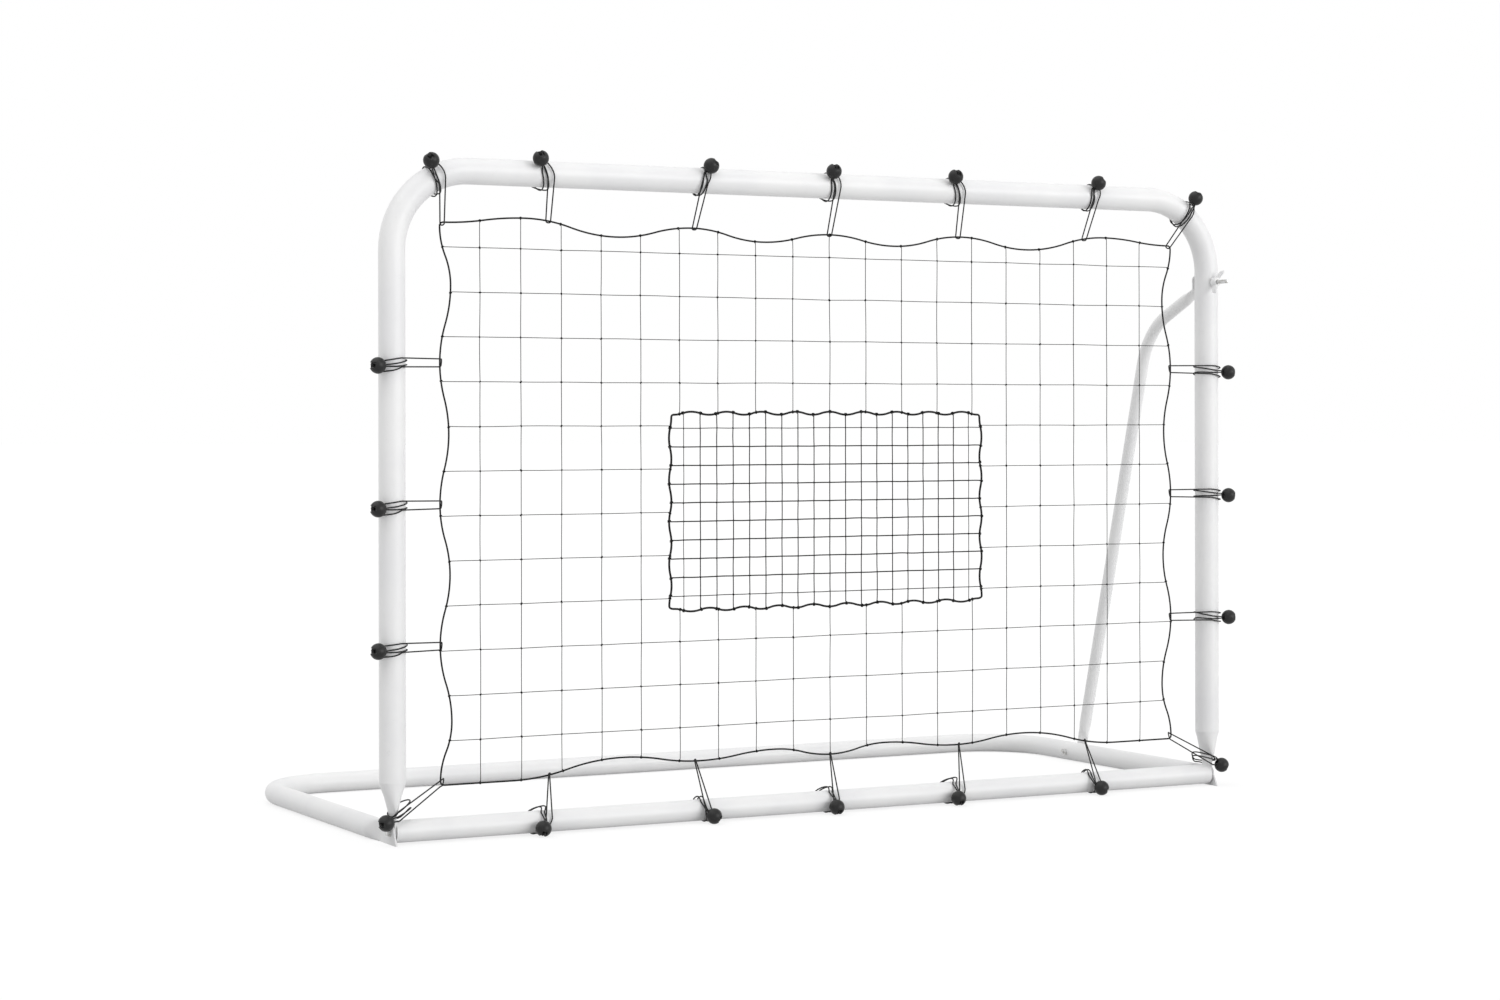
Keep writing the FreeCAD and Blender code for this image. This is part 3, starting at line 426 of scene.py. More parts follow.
# The wide net: its border's four straight lines, how far inside them its outer twines lie, and its
# waves as (share of the half width or of the height, distance off the line). Cord, twine and knot
# are radii, stray and bow are random, in millimetres.
netShape = {
    "half": 800.0, "top": 1083.0, "bottom": 77.0, "corner": 6.0,
    "columns": 19, "rows": 12, "side": 77.3, "below": 78.8, "above": 43.9,
    "topWave": [(0, 0), (0.181, -18), (0.369, 4), (0.562, -17), (0.794, 12)],
    "lowWave": [(0, 12), (0.151, 28), (0.351, 15), (0.55, 30), (0.825, 0)],
    "sideWave": [(0.888, 21), (0.75, 0), (0.624, 17), (0.498, 0), (0.373, 19), (0.247, 0), (0.112, 22)],
    "cord": 1.6, "twine": 0.66, "rowTwine": 0.72, "knot": 2.15, "outer": 1.0, "stray": 0.35, "bow": 0.16,
    "spacing": 4.0, "seed": 11,
}
# The target: twines "mesh" apart, even waves, and thinner twines at its edges by the factor "outer".
target = {
    "half": 341.0, "top": 741.5, "bottom": 374.5, "corner": 4.5,
    "columns": 19, "rows": 10, "mesh": 34.8, "lowRow": 400.5,
    "waves": 9, "waveHeight": 2.8, "sideWaves": 4, "sideHeight": 2.4,
    "cord": 2.0, "twine": 0.96, "rowTwine": 1.3, "knot": 1.8, "outer": 0.7, "stray": 0.18, "bow": 0.16,
    "spacing": 2.5, "seed": 23,
}

def waveAt(points, x):
    # Tangent arcs between the given (place, offset) pairs, level at each of them: the first half of a
    # stretch bends one way and the second half the other way, on the same radius.
    places, offsets = np.array(points, float).T
    x = np.clip(np.asarray(x, float), places[0], places[-1])
    i = np.clip(np.searchsorted(places, x, side="right") - 1, 0, len(places) - 2)
    x0, x1, d0, d1 = places[i], places[i + 1], offsets[i], offsets[i + 1]
    fall = np.maximum(np.abs(d1 - d0), 1e-6)
    radius = ((x1 - x0) ** 2 + fall ** 2) / (4 * fall)
    near = np.minimum(x - x0, x1 - x)
    arc = radius - np.sqrt(radius ** 2 - near ** 2)
    sign = np.sign(d1 - d0)
    return np.where(x <= (x0 + x1) / 2, d0 + sign * arc, d1 - sign * arc)

def slopeAt(wave, x):
    # rise of the wave over the 2 mm round x, per millimetre
    return float(waveAt(wave, x + 1) - waveAt(wave, x - 1)) / 2

def halfWave(points):
    # shares of the half width as places, level where the corner starts, and mirrored to the left
    points = [(s * netShape["half"], d) for s, d in points] + [(netShape["half"] - netShape["corner"], 0)]
    return [(-x, d) for x, d in reversed(points) if x > 0] + points

def evenWave(low, high, steps, height):
    # offsets of -height and +height by turns at even steps from low to high
    return [(low + k * (high - low) / steps, height * (1 if k % 2 else -1)) for k in range(steps + 1)]

def heightAt(share):
    # share of the way from the wide net's lower line to its upper one
    return netShape["bottom"] + share * (netShape["top"] - netShape["bottom"])

netTopWave, netLowWave = halfWave(netShape["topWave"]), halfWave(netShape["lowWave"])
netSideWave = ([(netShape["bottom"] + netShape["corner"], 0)]
               + [(heightAt(s), d) for s, d in reversed(netShape["sideWave"])]
               + [(netShape["top"] - netShape["corner"], 0)])
targetEnd = target["half"] - target["corner"] - target["sideHeight"]
targetWave = evenWave(-targetEnd, targetEnd, 2 * target["waves"], target["waveHeight"])
targetSideWave = evenWave(target["bottom"] + target["corner"] + target["waveHeight"],
                          target["top"] - target["corner"] - target["waveHeight"],
                          2 * target["sideWaves"] + 1, target["sideHeight"])

def borderLine(shape, topWave, lowWave, sideWave):
    # Once round the net, clockwise from its top left: the four waved sides with quarter rounds between,
    # centre + (a - centre) cos t + (b - centre) sin t.
    x = np.linspace(topWave[0][0], topWave[-1][0], 900)
    z = np.linspace(sideWave[0][0], sideWave[-1][0], 600)
    inset = waveAt(sideWave, z)
    top = np.stack([x, shape["top"] + waveAt(topWave, x)], 1)
    low = np.stack([x, shape["bottom"] + waveAt(lowWave, x)], 1)[::-1]
    right = np.stack([shape["half"] - inset, z], 1)[::-1]
    left = np.stack([inset - shape["half"], z], 1)
    sides = [top, right, low, left]
    line = []
    quarter = np.linspace(0, np.pi / 2, 8)[1:-1, None]
    for i, here in enumerate(sides):
        a, b = here[-1], sides[(i + 1) % 4][0]
        corner = np.array([b[0], a[1]]) if i % 2 == 0 else np.array([a[0], b[1]])
        centre = a + b - corner
        line += [here, centre + (a - centre) * np.cos(quarter) + (b - centre) * np.sin(quarter)]
    line = np.vstack(line + [top[:1]])
    line = np.stack([line[:, 0], 0 * line[:, 0], line[:, 1]], 1)
    return resample(line, shape["spacing"])[0][:-1]

def strand(points, radius, bow, rng):
    # Taut twine through its knots: straight between them, but for a random bow, bow times sin.
    points = np.asarray(points, float)
    share = np.linspace(0, 1, 6)[:-1]
    bowed = rng.normal(0, bow, (len(points) - 1, 1, 3)) * np.sin(np.pi * share)[None, :, None]
    path = points[:-1, None] + (points[1:] - points[:-1])[:, None] * share[None, :, None] + bowed
    path = np.vstack([path.reshape(-1, 3), points[-1:]])
    return ringTube(path, (0.0, 1.0, 0.0), radius, 6)

def knotPart(radius):
    # A knot as seen from outside: a lump of radius (sin, -0.8 cos), fuller along one diagonal.
    angle = np.linspace(0, np.pi, 7)[1:-1]
    profile = np.stack([radius * np.sin(angle), -0.8 * radius * np.cos(angle)], 1)

    def dent(p):
        turn = np.arctan2(p[..., 1], p[..., 0])
        fuller = 1 + 0.22 * np.cos(2 * turn - 1.2) + 0.1 * np.cos(3 * turn)
        return p * np.stack([fuller, fuller, 1 + 0 * fuller], -1)
    return lathe(profile, 8, dent)

def hitchPart(cord, twine):
    # One and a half turns of twine round the border cord, whose line is the third axis.
    turn = np.linspace(-0.75 * np.pi, 2.25 * np.pi, 13)
    around, pitch = cord + twine * 0.9, twine * 2.3
    path = np.stack([around * np.cos(turn), around * np.sin(turn), (turn - turn.mean()) / tau * pitch], 1)
    return ringTube(path, (0.0, 0.0, 1.0), twine, 5)

def knottedNet(shape, xs, zs, columns, rows, borders):
    # columns and rows are (index, low end, high end) with the ends on the border cords.
    rng = np.random.default_rng(shape["seed"])
    knotX = xs[:, None] + rng.normal(0, shape["stray"], (len(xs), len(zs)))
    knotZ = zs[None, :] + rng.normal(0, shape["stray"], (len(xs), len(zs)))
    lift = 0.3 * shape["twine"]  # columns pass in front of rows
    parts, tied, ends, lines = [], set(), [], []

    def lay(first, inner, last, radius, outermost, line):
        radius = radius * (shape["outer"] if outermost else 1)
        parts.append(strand([first] + inner + [last], radius, shape["bow"], rng))
        ends.extend([first, last])
        lines.extend([[-v for v in line], line])

    for k, low, high in columns:
        held = [j for j in range(len(zs)) if low < zs[j] < high]
        tied |= {(k, j) for j in held}
        lay((xs[k], 0, low), [(knotX[k, j], -lift, knotZ[k, j]) for j in held], (xs[k], 0, high),
            shape["twine"], k in (0, len(xs) - 1), (0, 0, 1))
    for j, low, high in rows:
        held = [k for k in range(len(xs)) if low < xs[k] < high and (k, j) in tied]
        lay((low, 0, zs[j]), [(knotX[k, j], lift, knotZ[k, j]) for k in held], (high, 0, zs[j]),
            shape["rowTwine"], j in (0, len(zs) - 1), (1, 0, 0))
    places = np.array([(knotX[k, j], 0, knotZ[k, j]) for k, j in sorted(tied)])
    spin = rng.uniform(0, tau, len(places))
    cos, sin, no = np.cos(spin), np.sin(spin), 0 * spin
    frames = np.stack([np.stack([cos, no, sin], -1), np.stack([-sin, no, cos], -1),
                       np.stack([no, no - 1, no], -1)], 1)
    parts.append(scatter(knotPart(shape["knot"]), places, frames, rng.uniform(0.85, 1.15, len(places))))
    return parts + hitches(np.array(ends), np.array(lines, float), borders, shape)

def hitches(ends, outward, borders, shape):
    # A hitch on the nearest border cord at each twine's end, turned to that cord's line.
    parts = []
    cords = np.concatenate([np.full(len(line), radius) for line, radius in borders])
    spots = np.vstack([line for line, _ in borders])
    tangents = np.vstack([unit(np.roll(line, -1, 0) - np.roll(line, 1, 0)) for line, _ in borders])
    nearest = np.argmin(((ends[:, None] - spots[None]) ** 2).sum(-1), 1)
    for radius in sorted(set(cords[nearest])):
        mine = cords[nearest] == radius
        at, along, out = spots[nearest[mine]], tangents[nearest[mine]], outward[mine]
        out = unit(out - dot(out, along) * along)
        frames = np.stack([np.cross(along, out), -out, along], 1)
        parts.append(scatter(hitchPart(radius, shape["twine"]), at, frames))
        parts.append(scatter(knotPart(shape["knot"] * 0.6), at - out * (radius + shape["twine"] * 0.9),
                             frames[:, [2, 0, 1]]))
    return parts

netBorder = borderLine(netShape, netTopWave, netLowWave, netSideWave)
targetBorder = borderLine(target, targetWave, [(x, -d) for x, d in targetWave], targetSideWave)
netXs = np.arange(netShape["columns"]) / (netShape["columns"] - 1) * 2 - 1
netXs = netXs * (netShape["half"] - netShape["side"])
netZs = np.linspace(netShape["bottom"] + netShape["below"], netShape["top"] - netShape["above"],
                    netShape["rows"])
targetXs = (np.arange(target["columns"]) - (target["columns"] - 1) / 2) * target["mesh"]
targetZs = target["lowRow"] + np.arange(target["rows"]) * target["mesh"]

# A twine of the wide net ends on the net's border, and on the target's where that lies in its way.
clear = netShape["cord"] + netShape["twine"]
rim = target["cord"] + netShape["twine"]
columns, rows = [], []
for k, x in enumerate(netXs):
    low = netShape["bottom"] + float(waveAt(netLowWave, x)) + clear
    high = netShape["top"] + float(waveAt(netTopWave, x)) - clear
    if abs(x) < target["half"] + target["cord"]:
        wave = float(waveAt(targetWave, x))
        columns += [(k, low, target["bottom"] - wave - rim), (k, target["top"] + wave + rim, high)]
    else:
        columns.append((k, low, high))
for j, z in enumerate(netZs):
    end = netShape["half"] - float(waveAt(netSideWave, z)) - clear
    if target["bottom"] < z < target["top"]:
        stop = target["half"] - float(waveAt(targetSideWave, z)) + rim
        rows += [(j, -end, -stop), (j, stop, end)]
    else:
        rows.append((j, -end, end))
makePiece("knottedNet", knottedNet(netShape, netXs, netZs, columns, rows,
                                   [(netBorder, netShape["cord"]), (targetBorder, target["cord"])]),
          paints["net_twine"], "net_frame", ["net"])

clear = target["cord"] + target["twine"]
columns = [(k, target["bottom"] - float(waveAt(targetWave, x)) + clear,
            target["top"] + float(waveAt(targetWave, x)) - clear) for k, x in enumerate(targetXs)]
stops = [target["half"] - float(waveAt(targetSideWave, z)) - clear for z in targetZs]
rows = [(j, -stop, stop) for j, stop in enumerate(stops)]
makePiece("targetMesh", knottedNet(target, targetXs, targetZs, columns, rows,
                                   [(targetBorder, target["cord"])]),
          paints["net_twine"], "net_frame", ["target_net"])
for name, line, shape, node in (("netBorderCord", netBorder, netShape, "net_edge_cord"),
                                ("targetBorderCord", targetBorder, target, "target_edge_cord")):
    makePiece(name, [ringTube(line, (0.0, 1.0, 0.0), shape["cord"], 12, closed=True)],
              paints["edge_cord"], "net_frame", [node])
print("nets made:", len(netXs), "x", len(netZs), "and", len(targetXs), "x", len(targetZs), "twines")

ballShape = {
    "radius": 14.75, "hole": 3.5, "lip": 0.5, "slotHalf": 5.0, "slotDepth": 6.4,
    "slotEdge": 0.7,        # width over which the slot's wall falls
    "seam": 0.12, "seamHalf": 0.5, "sides": 120,
}
elastic = {
    "cord": 1.28, "sides": 9, "spacing": 0.9, "seed": 5,
    "gap": 0.12,            # between the cord and what it lies on
    "holeHalf": 1.4,        # half the spacing of the two strands inside the ball
    "holeTop": 9.5, "leave": 0.6,       # where a strand starts in the ball, and how far out it may bend
    "hookReach": 145.0,     # how far round the border cord a strand goes before the bight, degrees
    "over": 2.1,            # cord radii by which the strands to the net pass over those from the ball
    "knotSize": 0.95, "knotHeight": 11.2, "knotSides": 8,
    # Each strand's places along its tube: as it comes from the ball, on the net's side, past it,
    # behind, on the ball's side, in front again and where it leaves for the net. The last value is
    # how far the turn stands off the tube on the net's side.
    "wraps": {
        "topLong": ((4.5, 9, -16, -9, 8, 14, 11.5), (-3.5, -3.5, -6, -5, 0.5, -1.5, -1.5), 4.0),
        "topShort": ((4.5, 3, -7, -4, 7, 11.5, 8.5), (-3.5, -4, -5, -4, 0.5, -4, -4), 2.6),
        "leftCorner": ((2.6, 11, -2, 0, 10, 20, 18), (-2.6, 1, -7, -3, -5, -3, 4.5), 3.0),
        "rightCorner": ((2.6, 4, -4, 0, 7, 10, 8.0), (-2.6, -5, -7, -5, 0, -5, -4.5), 3.0),
        "bottomLong": ((3.5, 1, 21, 14, 4, 7.5, 5.8), (-3.5, -8, 15, 9, -4, -7.5, -6.5), 7.0),
        "bottomShort": ((3.5, 5, 10, 8, 4, 7.5, 5.8), (-3.5, -1, 4, 3, -4, -7.5, -5.8), 4.5),
        "left": ((2.6, 8.8, 9, 8, 6.5, 10.5, 11.6), (-2.6, -1.6, -6, -9, -13, -9.5, -4.2), 1.2),
        "right": ((2.6, 2.8, 6, 8, 11, 7, 5.4), (-2.6, -8.6, -8, -7, -6, -11, -11.3), 1.2),
        "leftFoot": ((3.4, 5, 9, 5, -0.5, 4, 7.0), (-3.4, -7, -24, -11, -6.6, -8, -11.0), 33.0),
        "rightFoot": ((3.4, 8, 19, 11, 6.6, 8, 11.0), (-3.4, 1, 12, 6, 0.5, -4, -7.0), 33.0),
    },
    # At those seven places: how far a strand strays at random, how much of the tie's lean it takes,
    # and how much of the stand-off.
    "stray": (0, 0.75, 1.5, 1, 0.5, 0.5, 0),
    "leanShare": (0, 0.3, 0.1, 0.1, 0.3, 0.9, 1),
    "offShare": (0, 1, 0.5, 0.1, 0, 0, 0),
    # Ties over a bar: place as a share of the net's half width, how far the ball lies beside it, the
    # ball's lean along the bar and tip towards the front in degrees, how far the strands to the net
    # pass beside the ball, and the wrap.
    "top": [(-0.735, -28, (-4, 26), 9, "topLong"), (-0.362, 20, (31, 22), -8, "topShort"),
            (0, -7, (4, 28), 3, "topLong"), (0.362, -24, (13, 34), 6, "topLong"),
            (0.735, 14, (41, 18), -2, "topShort")],
    "bottom": [(-0.735, -28, (-3, 22), -13, "bottomLong"), (-0.362, 20, (-39, 22), 2, "bottomShort"),
               (0, -7, (-7, 24), -6, "bottomLong"), (0.362, -24, (-13, 26), -14, "bottomLong"),
               (0.735, 14, (-52, 20), -3, "bottomShort")],
    # Ties over an upright: place as a share of the net's height, how far up the ball lies from it,
    # and the ball's lean and tip.
    "left": [(0.75, -6, (5, 4)), (0.498, -5, (5, 4)), (0.247, -3, (7, 4))],
    "right": [(0.75, -6, (0, 0)), (0.498, -5, (4, 2)), (0.247, -3, (-4, 0))],
    # Corner ties: how far the ball lies inward of the upright and over the bar, its lean and tip.
    "corners": [(64.0, 14.0, (-20, 24)), (48.0, 4.0, (-12, 10))],
    "feet": [(20, 6), (0, 0)],      # lean and tip alone
    # The balls' places: outward from the tube's axis, and in front of it.
    "topBall": (26.0, 31.0), "sideBall": (36.0, 26.0), "footBall": (21.0, 22.0), "cornerFront": 29.0,
    "footRise": 20.0,       # of the ball over the pivot line, and below where its tie crosses the foot
    "footCrossing": 30.3, "footSection": (7.0, 21.5, 2.6),
}

def tieShape(tie, rng):
    # In the tie's plane n runs outward and f forward from the tube's axis, and s runs along the tube.
    # A strand leaves the ball, meets the tube where its line touches the section, goes once round on
    # (wide cos, deep sin), and leaves for the border cord, which it hooks over on a circle. The bight
    # joins both strands round the cord's inner side.
    net, ball, centre = (np.array(tie[k], float) for k in ("net", "ball", "centre"))
    run = unit(ball - net)
    out, front = np.array([run[0], 0, run[1]]), np.array([0.0, -1.0, 0.0])
    axis = np.array([tie["axis"][0], 0, tie["axis"][1]], float)
    origin = np.array([centre[0], 0, centre[1]])
    ballN, cordN = float((ball - centre) @ run), float((net - centre) @ run)
    wide, deep, power = tie["section"]
    lean, tip = np.radians(tie["tilt"])
    ballOut = unit(out * np.cos(tip) * np.cos(lean) + front * np.sin(tip) + axis * np.sin(lean) * np.cos(tip))
    across = unit(axis - dot(axis, ballOut) * ballOut)
    aimN, aimF, aimS = (float(ballOut @ v) for v in (out, front, axis))
    exitAt = -ballShape["radius"] - elastic["leave"]
    exitN, exitF = exitAt * aimN + ballN, exitAt * aimF + tie["front"]
    scaled = np.hypot(exitN / wide, exitF / deep)
    first = math.atan2(exitF / deep, exitN / wide) + math.acos(min(1.0, 1 / scaled))
    first = min(first, 0.85 * np.pi)
    *rows, standOff = tie["wrap"]
    reach = math.radians(elastic["hookReach"])

    def onCord(b, s):
        return np.stack([cordN + tie["hook"] * np.cos(b), tie["hook"] * np.sin(b), s], 1)

    strands = []
    for side, row in zip((1, -1), rows):
        row = row + np.append(0, rng.normal(0, 1, 6)) * elastic["stray"]
        row = row + tie["lean"] * np.array(elastic["leanShare"])
        row[0] += exitAt * aimS * 0.6
        inHole = np.linspace(elastic["holeTop"], exitAt, 14)
        hole = np.stack([ballN + inHole * aimN, tie["front"] + inHole * aimF,
                         inHole * aimS + side * elastic["holeHalf"]], 1)
        # the first strand passes in front of the border cord, the second one behind it
        meet = math.asin((deep - side * tie["hook"]) / -cordN) + np.pi / 2
        a = np.linspace(first, meet + tau, 150)
        c, s = roundness(a, power)
        n, f = wide * c, deep * s
        lift = elastic["over"] * elastic["cord"] * smooth((a - 2.1 * np.pi) / 0.5)
        over = 1 + lift / np.hypot(n, f)
        quarters = [first, np.pi, 1.3 * np.pi, 1.5 * np.pi, tau, 2.5 * np.pi, meet + tau]
        strayed = np.stack([np.interp(a, quarters, v) for v in (elastic["offShare"], row)], 1)
        off, along = soften(strayed, 60).T
        wrap = np.stack([n * over - standOff * rng.uniform(0.85, 1.15) * off, f * over, along], 1)
        b = np.linspace(meet if side > 0 else meet - np.pi, side * reach, 12)
        strands.append(np.vstack([hole, wrap, onCord(b, side * tie["half"] + 0 * b)]))
    t = np.linspace(0, np.pi, 17)[1:-1]
    b = reach + (tau - 2 * reach) * (1 - np.cos(t)) / 2
    path = np.vstack([strands[0], onCord(b, tie["half"] * np.cos(t)), strands[1][::-1]])
    refs = np.vstack([np.tile([0.0, 0, 1], (len(strands[0]), 1)),
                      np.stack([np.cos(b) * np.sin(t), np.sin(b) * np.sin(t), np.cos(t)], 1),
                      np.tile([0.0, 0, -1], (len(strands[1]), 1))])
    basis = np.stack([out, front, axis])
    path, refs = resample(path @ basis + origin, elastic["spacing"], refs @ basis)
    loop = ringTube(soften(path, 5), refs, elastic["cord"], elastic["sides"])
    ballCentre = origin + out * ballN + front * tie["front"]
    ballFrame = np.stack([across, np.cross(ballOut, across), ballOut])
    return [loop, slotKnot(ballFrame, ballCentre)], ballCentre, ballFrame

def slotKnot(frame, centre):
    # A trefoil in the ball's slot, (sin t + 2 sin 2t, cos t - 2 cos 2t), that rises and falls three times.
    t = np.linspace(0, tau, 49)[:-1]
    line = np.stack([(np.sin(t) + 2 * np.sin(2 * t)) * elastic["knotSize"],
                     (np.cos(t) - 2 * np.cos(2 * t)) * elastic["knotSize"],
                     elastic["knotHeight"] - np.sin(3 * t)], 1)
    return ringTube(line @ frame + centre, frame[2:], elastic["cord"], elastic["knotSides"], closed=True)

def ballPart():
    # Sphere on a grid of rings about its hole, closer together towards the slot. Over the slot's width
    # the top is lowered to one level, with a smooth lip, and both ends fall into the hole.
    radius, hole, half = ballShape["radius"], ballShape["hole"], ballShape["slotHalf"]
    edge = math.asin((hole + ballShape["lip"]) / radius)
    angle = np.concatenate([np.linspace(edge, 1.2, 26), np.linspace(1.2, np.pi - edge, 24)[1:]])
    shell = np.stack([radius * np.sin(angle), radius * np.cos(angle)], 1)
    mouth = radius * math.cos(edge)

    def throat(depth):
        # radius and depth below the mouth, from the hole's floor to its rim
        return [(hole * 0.7, depth + 1), (hole, depth), (hole, 0.7), (hole + 0.2, 0.15)]

    low = [(r, d - mouth) for r, d in throat(7)]
    high = [(r, mouth - d) for r, d in reversed(throat(8))]
    level, fall = radius - ballShape["slotDepth"], ballShape["slotEdge"]

    def cutSlot(p):
        share = 1 - smooth((np.abs(p[..., 0]) - (half - fall)) / fall)
        drop = np.clip(p[..., 2] - level, 0, None) * share
        seam = ballShape["seam"] * np.exp(-(p[..., 1] / ballShape["seamHalf"]) ** 2)
        seam = seam * (np.hypot(p[..., 0], p[..., 1]) > hole + 1)
        return (p + seam[..., None] * unit(p + 1e-9)) - np.stack([0 * drop, 0 * drop, drop], -1)
    return lathe(low + shell[::-1].tolist() + high, ballShape["sides"], cutSlot)

def hookSize(net, ball, slope, square, half):
    # Radius of the hook over the border cord: both radii, more where the tie crosses the cord at a
    # slant, and room for the cord's slope over the hook's width.
    run = np.subtract(ball, net)
    slant = np.hypot(*run) / abs(run @ np.array(square, float))
    return netShape["cord"] * slant + elastic["cord"] + elastic["gap"] + 0.6 * half * abs(slope) + 0.1

def crossing(net, ball, value, level):
    # the point between net and ball whose coordinate number level has that value
    share = (value - net[level]) / (ball[level] - net[level])
    return tuple(net[i] + share * (ball[i] - net[i]) for i in (0, 1))

def roundTie(tie, radius, spoke, room=0.0):
    # A tie over a round tube: its slanted plane cuts the tube in an ellipse.
    spoke = unit(np.array(spoke, float))
    run = unit(np.subtract(tie["ball"], tie["net"]))
    slant = 1 / abs(float(run @ spoke))
    thick = elastic["cord"] + elastic["gap"] + room
    return {**tie, "axis": (spoke[1], -spoke[0]), "wrap": elastic["wraps"][tie["wrap"]],
            "section": (radius * slant + thick * slant, radius + thick, 2.0)}

def barTies(name, bar):
    # the five ties over a bar
    ties = []
    for share, shift, tilt, lean, wrap in elastic[name]:
        x = share * netShape["half"]
        net, ball = (x, bar["edge"] + float(waveAt(bar["wave"], x))), (x + shift, bar["ballRise"])
        hook = hookSize(net, ball, slopeAt(bar["wave"], x), (0, 1), bar["half"])
        tie = {"net": net, "ball": ball, "front": bar["front"], "centre": crossing(net, ball, bar["axis"], 1),
               "hook": hook, "half": bar["half"], "wrap": wrap, "tilt": tilt, "lean": lean}
        ties.append(roundTie(tie, bar["radius"], (0, bar["up"])))
    return ties

def sideTies(name, sign):
    # the three ties over an upright
    ties = []
    outward, front = elastic["sideBall"]
    for share, shift, tilt in elastic[name]:
        z = heightAt(share)
        net = (sign * (netShape["half"] - float(waveAt(netSideWave, z))), z)
        ball = (sign * (layout["postHalf"] + outward), z + shift)
        tie = {"net": net, "ball": ball, "front": front,
               "centre": crossing(net, ball, sign * layout["postHalf"], 0),
               "hook": hookSize(net, ball, slopeAt(netSideWave, z), (1, 0), 6.0), "half": 7.0,
               "wrap": name, "tilt": tilt, "lean": 0}
        ties.append(roundTie(tie, layout["upperRadius"], (sign, 0)))
    return ties

def cornerTie(sign, inward, above, tilt):
    # The tube bends here: the tie crosses it where the line from net to ball meets the bend's centre
    # line, |net + t run - bend| = radius, the greater t.
    net = (sign * (netShape["half"] - 5.0), netShape["top"] - 1.0)
    ball = (sign * (layout["postHalf"] - inward), layout["frameRise"] + above)
    radius = layout["cornerBend"]
    bend = np.array([sign * (layout["postHalf"] - radius), layout["frameRise"] - radius])
    run, away = np.subtract(ball, net), np.array(net) - bend
    a, b, c = run @ run, run @ away, away @ away - radius ** 2
    centre = np.array(net) + (-b + math.sqrt(b * b - a * c)) / a * run
    tie = {"net": net, "ball": ball, "front": elastic["cornerFront"], "centre": tuple(centre),
           "hook": hookSize(net, ball, 0.1, (0, 1), 2.4) + 1.0, "half": 2.4,
           "wrap": "leftCorner" if sign < 0 else "rightCorner", "tilt": tilt, "lean": 0}
    return roundTie(tie, layout["upperRadius"], centre - bend, 0.5)

def footTie(sign, tilt):
    # over the upright's pressed foot, whose section is a flat superellipse
    outward, front = elastic["footBall"]
    net = (sign * (netShape["half"] - 1.0), netShape["bottom"] + 5.0)
    ball = (sign * (layout["postHalf"] + outward), elastic["footRise"])
    return {"net": net, "ball": ball, "front": front, "axis": (0, -sign),
            "centre": (sign * layout["postHalf"], elastic["footCrossing"]),
            "section": elastic["footSection"], "hook": hookSize(net, ball, 0.1, (1, 0), 2.4) + 1.2,
            "half": 7.0, "wrap": elastic["wraps"]["leftFoot" if sign < 0 else "rightFoot"],
            "tilt": tilt, "lean": 0}

# The balls under the front bar just clear the floor, and lie 4 mm off the bar in front of it.
ballDrop = layout["pivotLine"] - ballShape["radius"] - elastic["gap"]
bars = {
    "top": {"edge": netShape["top"], "wave": netTopWave, "axis": layout["frameRise"], "up": 1,
            "radius": layout["upperRadius"], "half": 3.0,
            "ballRise": layout["frameRise"] + elastic["topBall"][0], "front": elastic["topBall"][1]},
    "bottom": {"edge": netShape["bottom"], "wave": netLowWave, "axis": 0, "up": -1,
               "radius": layout["barRadius"], "half": 2.8, "ballRise": -ballDrop,
               "front": math.sqrt((layout["barRadius"] + ballShape["radius"] + 4) ** 2 - ballDrop ** 2)},
}
corners = [cornerTie(sign, *place) for sign, place in zip((-1, 1), elastic["corners"])]
feet = [footTie(sign, tilt) for sign, tilt in zip((-1, 1), elastic["feet"])]
groups = {
    "top": corners[:1] + barTies("top", bars["top"]) + corners[1:],
    "left": sideTies("left", -1),
    "right": sideTies("right", 1),
    "bottom": feet[:1] + barTies("bottom", bars["bottom"]) + feet[1:],
}
ball = ballPart()
slack = np.random.default_rng(elastic["seed"])
for group, ties in groups.items():
    centres, frames = [], []
    for number, tie in enumerate(ties, 1):
        parts, centre, ballFrame = tieShape(tie, slack)
        centres.append(centre)
        frames.append(ballFrame)
        makePiece(group + "ElasticTie" + str(number), parts, paints["elastic_cord"], "net_frame",
                  [group + "_tie_" + str(number)])
    makePiece(group + "TieBalls", [scatter(ball, centres, frames)], paints["ball_plastic"], "net_frame",
              [group + "_balls"])
print("ties made:", sum(len(ties) for ties in groups.values()))

nutShape = {
    "hubLength": 13.0, "hubBase": 10.0, "hubTip": 8.0, "bore": 4.1, "hubSides": 64,
    "root": (3.5, 6.5), "run": (19.0, 15.5),    # a wing's line: its start and its way, out and forward
    "wingHalf": 5.2, "belly": 1.3, "thick": 3.0, "wingSides": 28, "wingPower": 2.6,
    "turn": 65.0,           # of the wings about the stud, degrees
    "rise": 1010.0,         # of the stud over the pivot line
    "seat": layout["upperRadius"] + 1.6 + 0.3,      # tube, washer and play
}

